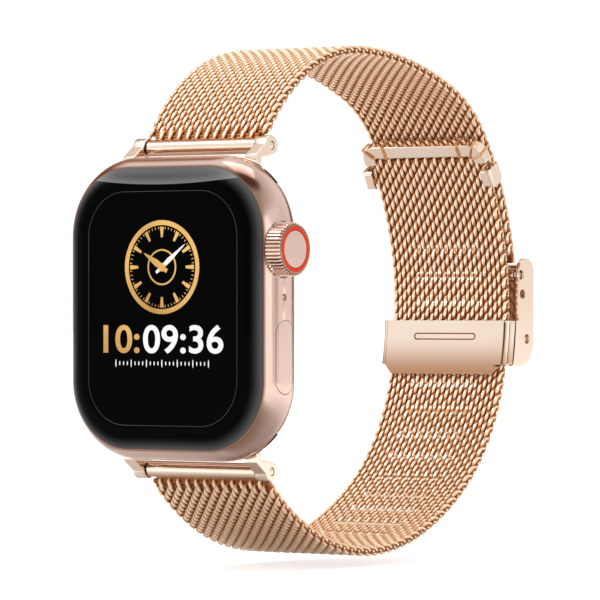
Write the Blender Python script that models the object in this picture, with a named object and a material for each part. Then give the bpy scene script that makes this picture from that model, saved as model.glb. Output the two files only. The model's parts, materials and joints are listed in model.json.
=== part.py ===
"""Smartwatch on a fine woven-mesh band: every solid piece, in metres.

Frame: +Z points to 12 o'clock, -Y out of the display, +X to the crown side.
The origin is the centre of the flat on the back crystal.
Lengths below are in millimetres and are scaled to metres when a mesh is made.
Most pieces are drawn in the side plane (y, z) or as rings about an axis along X.
"""
import bpy
import bmesh
import math
from mathutils import Vector

MM = 0.001

# ---------------------------------------------------------------- case
CASE_HALF_X = 18.9
CASE_HALF_Z = 22.0
CASE_CORNER = 11.5
MID_Y = -5.7            # middle plane of the case, seen from the back crystal
FRONT_Y = MID_Y - 5.0   # front of the glass
METAL_FRONT_Y = MID_Y - 3.8
METAL_BACK_Y = MID_Y + 4.4
FRONT_ROUND = 4.7       # side rounding towards the glass
BACK_ROUND = 4.5        # side rounding towards the wrist
CORNER_STEPS = 9

LEDGE_INSET = 3.0       # inner edge of the ledge that carries the glass
CAVITY_HALF_X = 15.9
CAVITY_HALF_Z = 14.2

SLOT_Y = MID_Y + 2.0    # middle of the channels that take the band adapters
SLOT_BULB = 1.25
SLOT_NECK = 0.95
SLOT_FLOOR_Z = 17.6
SLOT_STEP_Z = 20.2
ADAPTER_GAP = 0.3

# ---------------------------------------------------------------- crown and button
CROWN_Y = MID_Y - 1.4
CROWN_Z = 8.4
CROWN_R = 3.8
CROWN_BASE_X = 18.65
CROWN_FACE_X = 21.15
CROWN_TEETH = 44
RING_OUTER_R = 3.22
RING_INNER_R = 2.72
BUTTON_Y = MID_Y - 0.6
BUTTON_Z = -6.93
BUTTON_HALF_LENGTH = 5.25
BUTTON_HALF_WIDTH = 1.75

# ---------------------------------------------------------------- band
BAND_HALF_W = 10.95
BAND_HALF_T = 0.8
PIN_Y = -0.6
PIN_Z = 23.5
PIN_R = 0.6
TUBE_R = 1.2
TUBE_HALF_LENGTH = 9.85
ARM_INNER_X = 10.1
ARM_OUTER_X = 12.2
ARM_END_R = 1.45
BAND_START = 1.9        # the full width starts this far from the pin

CENTRE_Y = 20.7         # centre of the concentric arcs at the clasp
TAIL_R = 42.9
OUTER_R = 45.0
OUTER_ARC_END = 36.0    # degrees above the centre
UPPER_ARCS = ((20.544, 30.27), (61.266, 23.516), (28.166, 62.022))
TAIL_ARC_END = 16.0     # degrees below the centre
LOWER_ARCS = ((30.748, 39.848), (46.306, 13.621), (36.565, 69.702))
TAIL_TOP = 33.8         # degrees above the centre where the tail's weave ends
FLEX_GAP = 0.15
PATH_STEP = 2.2
GROOVE_PITCH = 4.35
GROOVE_FIRST = 15.7     # from the end of the tail to the first groove
GROOVE_COUNT = 14
GROOVE_DEPTH = 0.25

# ---------------------------------------------------------------- clasp
CHEEK_INNER_X = 11.25
CHEEK_OUTER_X = 11.9
PLATE_R = 41.2
PLATE_T = 0.6
PLATE_TOP_DEG = -2.6
PLATE_BOTTOM_DEG = -14.4
CHEEK_FRONT_Y = 64.8
CHEEK_BACK_Y = 68.9
CHEEK_TOP_Z = 7.8
CHEEK_BOTTOM_Z = -8.95
BAR_Y = 65.39
BAR_Z = 5.25
SPARE_HOLE_Y = 65.75
SPARE_HOLE_Z = 2.2
LEVER_PIN_Y = 67.0
LEVER_PIN_Z = -4.76
HOLE_R = 0.75
END_TUBE_R = 1.0

# ---------------------------------------------------------------- keeper
KEEPER_MID = 28.95      # degrees above the centre
KEEPER_HALF_ANGLE = 2.1
KEEPER_HALF_X = 12.0
KEEPER_T = 0.6
KEEPER_BACK_T = 0.32    # thin back that runs between the two layers of band


# ================================================================ helpers
def clear_scene():
    for obj in list(bpy.context.scene.objects):
        bpy.data.objects.remove(obj, do_unlink=True)


def new_collection(name):
    group = bpy.data.collections.new(name)
    bpy.context.scene.collection.children.link(group)
    return group


def make_material(name, colour, metallic, roughness, alpha=1.0):
    material = bpy.data.materials.new(name)
    material.use_nodes = True
    shader = material.node_tree.nodes["Principled BSDF"]
    shader.inputs["Base Color"].default_value = (*colour, 1.0)
    shader.inputs["Metallic"].default_value = metallic
    shader.inputs["Roughness"].default_value = roughness
    shader.inputs["Alpha"].default_value = alpha
    material.diffuse_color = (*colour, alpha)
    return material


def solid(name, points, faces, look, group=None):
    """One closed body from points in millimetres."""
    mesh = bpy.data.meshes.new(name)
    body = bmesh.new()
    verts = [body.verts.new(Vector(p) * MM) for p in points]
    for face in faces:
        body.faces.new([verts[i] for i in face])
    bmesh.ops.remove_doubles(body, verts=body.verts, dist=1e-8)
    bmesh.ops.recalc_face_normals(body, faces=body.faces)
    body.to_mesh(mesh)
    body.free()
    obj = bpy.data.objects.new(name, mesh)
    (group or PARTS).objects.link(obj)
    if look:
        if look not in LOOKS:
            raise ValueError(look)
        colour, metallic, roughness = LOOKS[look]
        mesh.materials.append(make_material(name, colour, metallic, roughness))
    return obj


def cutter(name, points, faces):
    obj = solid(name, points, faces, None, CUTTERS)
    obj.hide_render = True
    obj.display_type = "WIRE"
    return obj


def combine(target, tool, how):
    change = target.modifiers.new(tool.name, "BOOLEAN")
    change.operation = how
    change.solver = "EXACT"
    change.object = tool


def loft(rings, closed=False):
    """Points and faces of a body skinned over rings of equal length."""
    count = len(rings[0])
    points = [p for ring in rings for p in ring]
    faces = []
    last = len(rings) if closed else len(rings) - 1
    for k in range(last):
        a = k * count
        b = ((k + 1) % len(rings)) * count
        for i in range(count):
            j = (i + 1) % count
            faces.append((a + i, a + j, b + j, b + i))
    if not closed:
        faces.append(tuple(range(count)))
        faces.append(tuple(range(len(points) - count, len(points))))
    return points, faces


def rounded_outline(half_a, half_b, radius, steps=CORNER_STEPS):
    points = []
    for quarter, (sa, sb) in enumerate(((1, 1), (-1, 1), (-1, -1), (1, -1))):
        for i in range(steps + 1):
            angle = math.radians(90 * quarter + 90 * i / steps)
            a = sa * (half_a - radius) + radius * math.cos(angle)
            b = sb * (half_b - radius) + radius * math.sin(angle)
            points.append((a, b))
    return points


def stadium(mid_a, mid_b, half_a, half_b, steps=6):
    """Slot outline whose round ends lie at the two ends of b."""
    points = []
    for i in range(steps + 1):
        angle = math.pi * i / steps
        points.append((mid_a + half_a * math.cos(angle), mid_b + half_b - half_a + half_a * math.sin(angle)))
    for i in range(steps + 1):
        angle = math.pi + math.pi * i / steps
        points.append((mid_a + half_a * math.cos(angle), mid_b - half_b + half_a + half_a * math.sin(angle)))
    return points


def along_x(outline, low, high):
    """Prism of a (y, z) outline between two x planes."""
    return loft([[(x, y, z) for y, z in outline] for x in (low, high)])


def along_y(outline, low, high):
    """Prism of an (x, z) outline between two y planes."""
    return loft([[(x, y, z) for x, z in outline] for y in (low, high)])


def circle(mid_a, mid_b, radius, steps=24):
    turn = 2 * math.pi / steps
    return [(mid_a + radius * math.cos(turn * i), mid_b + radius * math.sin(turn * i)) for i in range(steps)]


def spun_x(profile, y, z, steps=24, closed=False):
    """Rings about an axis along X from (x, radius) pairs."""
    rings = [[(x, a, b) for a, b in circle(y, z, radius, steps)] for x, radius in profile]
    return loft(rings, closed)


def spun_y(profile, x, z, steps=32, closed=False):
    """Rings about an axis along Y from (y, radius) pairs."""
    rings = [[(a, y, b) for a, b in circle(x, z, radius, steps)] for y, radius in profile]
    return loft(rings, closed)


def tube_profile(low, high, inner, outer):
    return [(low, inner), (low, outer), (high, outer), (high, inner)]


def box(low, high):
    (ax, ay, az), (bx, by, bz) = low, high
    return along_y([(ax, az), (bx, az), (bx, bz), (ax, bz)], ay, by)


def flipped(shape):
    """The same shape mirrored to the 6 o'clock side."""
    points, faces = shape
    return [(x, y, -z) for x, y, z in points], faces


def polar(radius, degrees):
    angle = math.radians(degrees)
    return CENTRE_Y + radius * math.cos(angle), radius * math.sin(angle)


def around_centre(section, angles):
    """Sweep an (x, radius) section about the centre of the clasp arcs."""
    return loft([[(x, *polar(radius, angle)) for x, radius in section] for angle in angles])


def spread(low, high, count):
    return [low + (high - low) * i / (count - 1) for i in range(count)]


# ================================================================ band path
def arc_points(y, z, heading, radius, turn, step):
    """Stations (y, z, heading) along an arc that turns left, without its first point."""
    count = max(2, round(math.radians(turn) * radius / step))
    mid_y = y - radius * math.sin(math.radians(heading))
    mid_z = z + radius * math.cos(math.radians(heading))
    stations = []
    for i in range(1, count + 1):
        now = heading + turn * i / count
        py = mid_y + radius * math.sin(math.radians(now))
        pz = mid_z - radius * math.cos(math.radians(now))
        stations.append((py, pz, now))
    return stations


def band_path(radius, low, high, arcs, step=PATH_STEP):
    """Stations from the clasp end of a strap to its pin, first on the concentric arc."""
    y, z = polar(radius, low)
    path = [(y, z, low + 90)]
    path += arc_points(y, z, low + 90, radius, high - low, step)
    for arc_radius, turn in arcs:
        y, z, heading = path[-1]
        path += arc_points(y, z, heading, arc_radius, turn, step)
    return path


def moved_along(station, distance):
    y, z, heading = station
    angle = math.radians(heading)
    return y + distance * math.cos(angle), z + distance * math.sin(angle), heading


def band_section():
    return rounded_outline(BAND_HALF_W, BAND_HALF_T, 0.35, 2)


def ribbon(path, half_width=None):
    """Flat strap of the band's section along stations."""
    section = band_section()
    if half_width:
        section = rounded_outline(half_width, BAND_HALF_T, 0.35, 2)
    rings = []
    for y, z, heading in path:
        out_y = math.sin(math.radians(heading))
        out_z = -math.cos(math.radians(heading))
        rings.append([(x, y + out_y * t, z + out_z * t) for x, t in section])
    return loft(rings)


def from_pin(path, distance):
    """The stations that are at least a distance from the strap pin, ending exactly there."""
    kept = []
    for y, z, heading in path:
        if math.hypot(y - PIN_Y, z - PIN_Z) > distance + 0.3:
            kept.append((y, z, heading))
    y, z, heading = kept[-1]
    reach = math.hypot(y - PIN_Y, z - PIN_Z) - distance
    kept.append((*moved_along(kept[-1], reach)[:2], path[-1][2] - 2.0))
    return kept


# ================================================================ case
def side_inset(y):
    """How far the outline steps in at a height through the case."""
    front_mid = FRONT_Y + FRONT_ROUND
    back_mid = METAL_BACK_Y - BACK_ROUND
    if y < front_mid:
        return FRONT_ROUND - math.sqrt(max(0.0, FRONT_ROUND ** 2 - (y - front_mid) ** 2))
    if y > back_mid:
        return BACK_ROUND - math.sqrt(max(0.0, BACK_ROUND ** 2 - (y - back_mid) ** 2))
    return 0.0


def outline_ring(y, inset):
    outline = rounded_outline(CASE_HALF_X - inset, CASE_HALF_Z - inset, CASE_CORNER - inset)
    return [(x, y, z) for x, z in outline]


def case_levels():
    front_mid = FRONT_Y + FRONT_ROUND
    back_mid = METAL_BACK_Y - BACK_ROUND
    start = math.asin((front_mid - METAL_FRONT_Y) / FRONT_ROUND)
    levels = [front_mid - FRONT_ROUND * math.sin(start * (1 - i / 5)) for i in range(6)]
    levels += [back_mid + BACK_ROUND * math.sin(math.radians(a)) for a in (0, 13, 26, 39, 52, 65, 78, 90)]
    return levels


def slot_outline(bulb, neck, floor_z, step_z, top_z):
    outline = [(SLOT_Y + neck, top_z), (SLOT_Y - neck, top_z), (SLOT_Y - neck, step_z + 0.3)]
    outline += [(SLOT_Y - bulb, step_z), (SLOT_Y - bulb, floor_z + 0.6), (SLOT_Y - bulb + 0.5, floor_z)]
    outline += [(SLOT_Y + bulb - 0.5, floor_z), (SLOT_Y + bulb, floor_z + 0.6), (SLOT_Y + bulb, step_z)]
    outline += [(SLOT_Y + neck, step_z + 0.3)]
    return outline


def build_case():
    case = solid("case_shell", *loft([outline_ring(y, side_inset(y)) for y in case_levels()]), "rose")
    cuts = {}
    recess = rounded_outline(CASE_HALF_X - LEDGE_INSET, CASE_HALF_Z - LEDGE_INSET, CASE_CORNER - LEDGE_INSET)
    cuts["cut_display_recess"] = along_y(recess, FRONT_Y - 1, MID_Y - 2.4)
    cavity = rounded_outline(CAVITY_HALF_X - 0.4, CAVITY_HALF_Z, 4.0, 4)
    cuts["cut_cavity"] = along_y(cavity, MID_Y - 3.0, MID_Y + 3.0)
    cuts["cut_back_hole"] = spun_y([(MID_Y + 2.0, 10.8), (METAL_BACK_Y + 1, 10.8)], 0, 0)
    cuts["cut_back_seat"] = spun_y([(MID_Y + 3.6, 13.1), (METAL_BACK_Y + 1, 13.1)], 0, 0, 40)
    slot = slot_outline(SLOT_BULB, SLOT_NECK, SLOT_FLOOR_Z, SLOT_STEP_Z, CASE_HALF_Z + 1.5)
    cuts["cut_slot_upper"] = along_x(slot, -21, 21)
    cuts["cut_slot_lower"] = flipped(along_x(slot, -21, 21))
    cuts["cut_crown_bore"] = spun_x([(14.6, 1.65), (21, 1.65)], CROWN_Y, CROWN_Z)
    cuts["cut_crown_seat"] = spun_x([(18.25, CROWN_R + 0.3), (21, CROWN_R + 0.3)], CROWN_Y, CROWN_Z, 40)
    pocket = stadium(BUTTON_Y, BUTTON_Z, BUTTON_HALF_WIDTH + 0.16, BUTTON_HALF_LENGTH + 0.16)
    cuts["cut_button_pocket"] = along_x(pocket, 17.0, 21)
    cuts["cut_button_bore"] = spun_x([(14.6, 0.9), (18, 0.9)], BUTTON_Y, BUTTON_Z, 16)
    cuts["cut_microphone"] = spun_x([(14.6, 0.45), (21, 0.45)], MID_Y - 1.0, 1.6, 12)
    for name, z in (("cut_speaker_upper", 4.4), ("cut_speaker_lower", -4.4)):
        cuts[name] = along_x(stadium(MID_Y - 0.9, z, 0.6, 3.3), -21, -14.6)
    release = [(x, z) for z, x in stadium(15.9, 0.0, 1.05, 4.0)]
    cuts["cut_release_upper"] = along_y(release, METAL_BACK_Y - 1.7, METAL_BACK_Y + 1)
    cuts["cut_release_lower"] = flipped(cuts["cut_release_upper"])
    for name, shape in cuts.items():
        combine(case, cutter(name, *shape), "DIFFERENCE")
    return case


def build_display():
    front_mid = FRONT_Y + FRONT_ROUND
    under = METAL_FRONT_Y - 0.2
    start = math.asin((front_mid - under) / FRONT_ROUND)
    angles = spread(start, math.pi / 2, 7)
    rings = []
    for angle in angles:
        y = front_mid - FRONT_ROUND * math.sin(angle)
        rings.append(outline_ring(y, FRONT_ROUND * (1 - math.cos(angle))))
    solid("display_glass", *loft(rings), "black_glass")
    panel = rounded_outline(15.3, 18.4, 8.0, 6)
    solid("display_panel", *along_y(panel, METAL_FRONT_Y - 0.12, MID_Y - 2.8), "black_plastic")
    outer = rounded_outline(CASE_HALF_X - 2.0, CASE_HALF_Z - 2.0, CASE_CORNER - 2.0, 6)
    inner = rounded_outline(CASE_HALF_X - 2.9, CASE_HALF_Z - 2.9, CASE_CORNER - 2.9, 6)
    low, high = METAL_FRONT_Y - 0.17, METAL_FRONT_Y - 0.03
    rings = [[(x, low, z) for x, z in outer], [(x, high, z) for x, z in outer]]
    rings += [[(x, high, z) for x, z in inner], [(x, low, z) for x, z in inner]]
    solid("display_gasket", *loft(rings, True), "black_rubber")


def build_inside():
    solid("main_board", *along_y(rounded_outline(9.9, 13.2, 3.0, 3), MID_Y - 2.35, MID_Y - 1.85), "board")
    solid("battery", *box((-8.0, MID_Y - 1.4, -13.0), (9.0, MID_Y + 1.9, 4.0)), "foil")
    solid("haptic_engine", *box((-8.0, MID_Y - 1.4, 5.0), (7.0, MID_Y + 1.6, 12.6)), "steel")
    solid("speaker", *box((-15.0, MID_Y - 1.5, -9.0), (-10.0, MID_Y + 1.9, 9.0)), "black_plastic")
    solid("microphone", *box((13.0, MID_Y - 1.5, 0.6), (14.9, MID_Y + 0.2, 2.6)), "steel")
    coil = tube_profile(MID_Y + 2.2, MID_Y + 3.3, 5.0, 9.4)
    solid("charging_coil", *spun_y(coil, 0, 0, 28, True), "copper")
    solid("sensor_module", *spun_y([(MID_Y + 2.2, 4.2), (MID_Y + 4.2, 4.2)], 0, 0, 20), "black_plastic")
    cover = tube_profile(MID_Y + 3.68, MID_Y + 4.3, 8.0, 12.9)
    solid("back_cover", *spun_y(cover, 0, 0, 40, True), "ceramic")
    dome = [(MID_Y + 4.36, 12.9), (MID_Y + 4.62, 12.9), (MID_Y + 5.1, 11.9), (MID_Y + 5.45, 10.2)]
    dome += [(MID_Y + 5.64, 8.2), (0.0, 6.2)]
    solid("back_crystal", *spun_y(dome, 0, 0, 40), "sapphire")


def build_crown():
    knurled = []
    levels = [(CROWN_BASE_X, -0.35), (CROWN_BASE_X + 0.2, 0.0)]
    levels += [(CROWN_FACE_X - 0.3, 0.0), (CROWN_FACE_X, -0.32)]
    for x, grow in levels:
        ring = []
        for i in range(CROWN_TEETH * 2):
            radius = CROWN_R + grow - (0.14 if i % 2 else 0.0)
            angle = math.pi * i / CROWN_TEETH
            ring.append((x, CROWN_Y + radius * math.cos(angle), CROWN_Z + radius * math.sin(angle)))
        knurled.append(ring)
    knob = solid("crown_knob", *loft(knurled), "rose")
    well = [(CROWN_FACE_X - 0.5, RING_OUTER_R + 0.06), (CROWN_FACE_X + 1, RING_OUTER_R + 0.06)]
    groove = cutter("cut_crown_face", *spun_x(well, CROWN_Y, CROWN_Z, 36))
    combine(knob, groove, "DIFFERENCE")
    hole = [(CROWN_BASE_X - 1, 0.95), (CROWN_BASE_X + 0.9, 0.95)]
    socket = cutter("cut_crown_socket", *spun_x(hole, CROWN_Y, CROWN_Z))
    combine(knob, socket, "DIFFERENCE")
    ring = tube_profile(CROWN_FACE_X - 0.44, CROWN_FACE_X + 0.04, RING_INNER_R, RING_OUTER_R)
    solid("crown_ring", *spun_x(ring, CROWN_Y, CROWN_Z, 36, True), "red_enamel")
    cap = [(CROWN_FACE_X - 0.44, RING_INNER_R - 0.05), (CROWN_FACE_X - 0.03, RING_INNER_R - 0.05)]
    cap += [(CROWN_FACE_X + 0.03, RING_INNER_R - 0.25)]
    solid("crown_cap", *spun_x(cap, CROWN_Y, CROWN_Z, 36), "rose")
    solid("crown_shaft", *spun_x([(12.3, 0.9), (CROWN_BASE_X + 0.85, 0.9)], CROWN_Y, CROWN_Z, 20), "steel")
    encoder = tube_profile(13.2, 14.0, 0.94, 1.25)
    solid("crown_encoder", *spun_x(encoder, CROWN_Y, CROWN_Z, 20, True), "steel")
    sleeve = tube_profile(14.5, 18.15, 1.0, 1.25)
    solid("crown_sleeve", *spun_x(sleeve, CROWN_Y, CROWN_Z, 20, True), "brass")
    seal = tube_profile(16.2, 17.4, 1.28, 1.5)
    solid("crown_seal", *spun_x(seal, CROWN_Y, CROWN_Z, 20, True), "black_rubber")
    low, high = (10.2, CROWN_Y - 0.3, CROWN_Z - 1.6), (11.7, CROWN_Y + 1.3, CROWN_Z + 1.6)
    solid("crown_switch", *box(low, high), "steel")


def build_buttons():
    outline = stadium(BUTTON_Y, BUTTON_Z, BUTTON_HALF_WIDTH, BUTTON_HALF_LENGTH)
    button = solid("side_button", *along_x(outline, 17.5, 20.5), "rose")
    stem = cutter("add_button_stem", *spun_x([(15.0, 0.6), (17.9, 0.6)], BUTTON_Y, BUTTON_Z, 16))
    combine(button, stem, "UNION")
    levels = case_levels()
    skin = cutter("trim_button_face", *loft([outline_ring(y, side_inset(y) + 0.02) for y in levels]))
    combine(button, skin, "INTERSECT")
    low, high = (12.9, BUTTON_Y - 0.4, BUTTON_Z - 1.4), (14.5, BUTTON_Y + 1.1, BUTTON_Z + 1.4)
    solid("button_switch", *box(low, high), "steel")
    release = [(x, z) for z, x in stadium(15.9, 0.0, 0.85, 3.8)]
    shape = along_y(release, METAL_BACK_Y - 1.05, METAL_BACK_Y - 0.05)
    solid("release_button_upper", *shape, "rose")
    solid("release_button_lower", *flipped(shape), "rose")


# ================================================================ adapters
def arm_outline():
    neck = SLOT_NECK - ADAPTER_GAP
    points = [(SLOT_Y - neck, 20.7), (SLOT_Y + neck, 20.7), (SLOT_Y + neck, 21.75), (SLOT_Y + 2.3, 21.95)]
    for degrees in range(-50, 171, 20):
        angle = math.radians(degrees)
        points.append((PIN_Y + ARM_END_R * math.cos(angle), PIN_Z + ARM_END_R * math.sin(angle)))
    points.append((SLOT_Y - neck, 22.1))
    return points


def build_adapter(side, place):
    gap = ADAPTER_GAP
    tongue = slot_outline(SLOT_BULB - gap, SLOT_NECK - gap, SLOT_FLOOR_Z + gap, SLOT_STEP_Z - gap, 22.35)
    body = solid("adapter_" + side, *place(along_x(tongue, -18.5, 18.5)), "gold")
    ends = rounded_outline(CASE_HALF_X - 0.05, CASE_HALF_Z + 0.6, CASE_CORNER + 0.35, 8)
    combine(body, cutter("trim_adapter_" + side, *place(along_y(ends, MID_Y - 2, MID_Y + 6))), "INTERSECT")
    for hand, low, high in (("left", -ARM_OUTER_X, -ARM_INNER_X), ("right", ARM_INNER_X, ARM_OUTER_X)):
        arm = cutter("add_arm_" + hand + "_" + side, *place(along_x(arm_outline(), low, high)))
        combine(body, arm, "UNION")
    hole = [(-13, PIN_R + 0.05), (13, PIN_R + 0.05)]
    bore = cutter("cut_pin_bore_" + side, *place(spun_x(hole, PIN_Y, PIN_Z, 20)))
    combine(body, bore, "DIFFERENCE")
    well = [(y, z) for y, z in circle(0, SLOT_Y, 0.62, 16)]
    rings = [[(x, y, z) for x, y in well] for z in (SLOT_FLOOR_Z, SLOT_FLOOR_Z + 1.6)]
    combine(body, cutter("cut_latch_well_" + side, *place(loft(rings))), "DIFFERENCE")
    plug = circle(0, SLOT_Y, 0.5, 16)
    rings = [[(x, y, z) for x, y in plug] for z in (SLOT_FLOOR_Z + 0.35, SLOT_FLOOR_Z + 1.4)]
    solid("adapter_latch_" + side, *place(loft(rings)), "steel")
    pin = [(-12.12, PIN_R - 0.12), (-12.0, PIN_R), (12.0, PIN_R), (12.12, PIN_R - 0.12)]
    solid("strap_pin_" + side, *place(spun_x(pin, PIN_Y, PIN_Z, 20)), "steel")
    tube = tube_profile(-TUBE_HALF_LENGTH, TUBE_HALF_LENGTH, PIN_R + 0.12, TUBE_R)
    solid("strap_tube_" + side, *place(spun_x(tube, PIN_Y, PIN_Z, 24, True)), "gold")


# ================================================================ band
def strap_end(path):
    """Narrow tongue that joins the weave to the tube between the arms."""
    y, z, heading = path[-1]
    to_pin = math.hypot(y - PIN_Y, z - PIN_Z)
    aim = math.degrees(math.atan2(PIN_Z - z, PIN_Y - y)) % 360
    start = moved_along((y, z, aim), -0.5)
    end = moved_along((y, z, aim), to_pin - TUBE_R - 0.04)
    return ribbon([start, end], TUBE_HALF_LENGTH - 0.1)


def build_upper_strap():
    bar_angle = math.degrees(math.atan2(BAR_Z, BAR_Y - CENTRE_Y))
    start = bar_angle + math.degrees((END_TUBE_R + 0.05) / OUTER_R)
    far = band_path(OUTER_R, start, OUTER_ARC_END, UPPER_ARCS[:2])
    joint = far[-1]
    far[-1] = moved_along(joint, -FLEX_GAP)
    solid("strap_upper_far", *ribbon(far), "weave")
    y, z, heading = joint
    near = [moved_along(joint, FLEX_GAP)] + arc_points(y, z, heading, *UPPER_ARCS[2], PATH_STEP)
    near = from_pin(near, BAND_START)
    strap = solid("strap_upper_near", *ribbon(near), "weave")
    combine(strap, cutter("add_end_upper", *strap_end(near)), "UNION")
    bar_y, bar_z = polar(OUTER_R, bar_angle)
    tube = tube_profile(-BAND_HALF_W + 0.1, BAND_HALF_W - 0.1, HOLE_R, END_TUBE_R)
    solid("strap_end_tube", *spun_x(tube, bar_y, bar_z, 20, True), "gold")
    return joint


def build_lower_strap():
    path = band_path(TAIL_R, -TAIL_TOP, TAIL_ARC_END, LOWER_ARCS)
    kept = from_pin(path, BAND_START)
    strap = solid("strap_lower", *flipped(ribbon(kept)), "weave")
    combine(strap, cutter("add_end_lower", *flipped(strap_end(kept))), "UNION")
    fine = band_path(TAIL_R, -TAIL_TOP, TAIL_ARC_END, LOWER_ARCS, 0.25)
    points, faces = [], []
    travelled, wanted, made = 0.0, GROOVE_FIRST, 0
    for before, now in zip(fine, fine[1:]):
        travelled += math.hypot(now[0] - before[0], now[1] - before[1])
        if travelled < wanted or made == GROOVE_COUNT:
            continue
        y, z, heading = now
        out = (math.sin(math.radians(heading)), -math.cos(math.radians(heading)))
        on = (math.cos(math.radians(heading)), math.sin(math.radians(heading)))
        first = len(points)
        for x in (-6.0, 6.0):
            for s, t in ((-0.4, -BAND_HALF_T - 0.5), (0.4, -BAND_HALF_T - 0.5),
                         (0.4, -BAND_HALF_T + GROOVE_DEPTH), (-0.4, -BAND_HALF_T + GROOVE_DEPTH)):
                points.append((x, y + on[0] * s + out[0] * t, -(z + on[1] * s + out[1] * t)))
        for quad in ((0, 1, 2, 3), (4, 7, 6, 5), (0, 4, 5, 1), (1, 5, 6, 2), (2, 6, 7, 3), (3, 7, 4, 0)):
            faces.append(tuple(first + i for i in quad))
        wanted += GROOVE_PITCH
        made += 1
    combine(strap, cutter("cut_grooves", points, faces), "DIFFERENCE")


def build_tail_end():
    """Arch-shaped metal end of the tail, bent to the band's curve."""
    outer_top, outer_side, height, wall, corner = 36.8, 11.35, 3.46, 2.1, 2.6
    to_degrees = math.degrees(1 / TAIL_R)
    outline = []
    for i in range(7):
        angle = math.radians(15 * i)
        outline.append((outer_side - corner + corner * math.cos(angle), -corner + corner * math.sin(angle)))
    arch = [(outer_side, -height)] + outline
    arch += [(-x, s) for x, s in reversed(arch)]
    small = corner - wall
    inside = []
    for i in range(7):
        angle = math.radians(15 * i)
        inside.append((outer_side - corner + small * math.cos(angle), -corner + small * math.sin(angle)))
    inside = [(outer_side - wall, -height)] + inside
    inside += [(-x, s) for x, s in reversed(inside)]
    rings = []
    for radius in (TAIL_R - 0.95, TAIL_R + 0.95):
        ring = [(x, *polar(radius, outer_top + s * to_degrees)) for x, s in arch]
        ring += [(x, *polar(radius, outer_top + s * to_degrees)) for x, s in reversed(inside)]
        rings.append(ring)
    solid("tail_end_bar", *loft(rings), "gold")


def trim_tail_corners():
    """Take the tail's weave back so that it fits inside the arch of the end bar."""
    strap = bpy.data.objects["strap_lower"]
    to_degrees = math.degrees(1 / TAIL_R)
    for hand, sign in (("left", -1), ("right", 1)):
        outline = [(8.3, 0.35), (8.3, 0.0), (9.05, -0.6), (9.05, -1.5), (13.0, -1.5), (13.0, 0.35)]
        rings = []
        for radius in (TAIL_R - 2.0, TAIL_R + 1.4):
            rings.append([(sign * x, *polar(radius, TAIL_TOP + s * to_degrees)) for x, s in outline])
        combine(strap, cutter("trim_tail_" + hand, *loft(rings)), "DIFFERENCE")


def build_keeper():
    """Clip around the tail: a thin back, two sides and two lips folded over the inner face."""
    inner, outer = TAIL_R - BAND_HALF_T - 0.3, TAIL_R + BAND_HALF_T + 0.08
    side, thick, lip, back = KEEPER_HALF_X, KEEPER_T, 1.7, KEEPER_BACK_T
    right = [(side - lip, inner), (side - lip, inner - thick)]
    right += [(side - 0.4, inner - thick), (side, inner - thick + 0.4)]
    right += [(side, outer + back - 0.15), (side - 0.15, outer + back)]
    left = [(-x, r) for x, r in reversed(right)]
    inside = [(-side + thick, inner), (-side + thick, outer), (side - thick, outer), (side - thick, inner)]
    section = right + left + inside
    angles = spread(KEEPER_MID - KEEPER_HALF_ANGLE, KEEPER_MID + KEEPER_HALF_ANGLE, 3)
    solid("keeper_loop", *around_centre(section, angles), "gold")


# ================================================================ clasp
def frame_outline(front):
    """Side outline of the folded clasp frame; front is the radius of its wrist face."""
    points = [polar(PLATE_R + PLATE_T, PLATE_BOTTOM_DEG), polar(front, PLATE_BOTTOM_DEG)]
    points += [polar(front, a) for a in spread(PLATE_BOTTOM_DEG, PLATE_TOP_DEG, 5)[1:]]
    points += [(CHEEK_FRONT_Y - 0.35, -1.9), (CHEEK_FRONT_Y, -1.5)]
    top_r = (CHEEK_BACK_Y - CHEEK_FRONT_Y) / 2
    top_y, top_z = CHEEK_FRONT_Y + top_r, CHEEK_TOP_Z - top_r
    for degrees in (180, 150, 120, 90, 60, 30, 0):
        angle = math.radians(degrees)
        points.append((top_y + top_r * math.cos(angle), top_z + top_r * math.sin(angle)))
    low_r = 3.9
    low_y, low_z = CHEEK_BACK_Y - low_r, CHEEK_BOTTOM_Z + low_r
    for degrees in (0, -22, -45, -67, -90):
        angle = math.radians(degrees)
        points.append((low_y + low_r * math.cos(angle), low_z + low_r * math.sin(angle)))
    points.append((polar(PLATE_R + PLATE_T, -12.35)[0], CHEEK_BOTTOM_Z))
    return points


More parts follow.
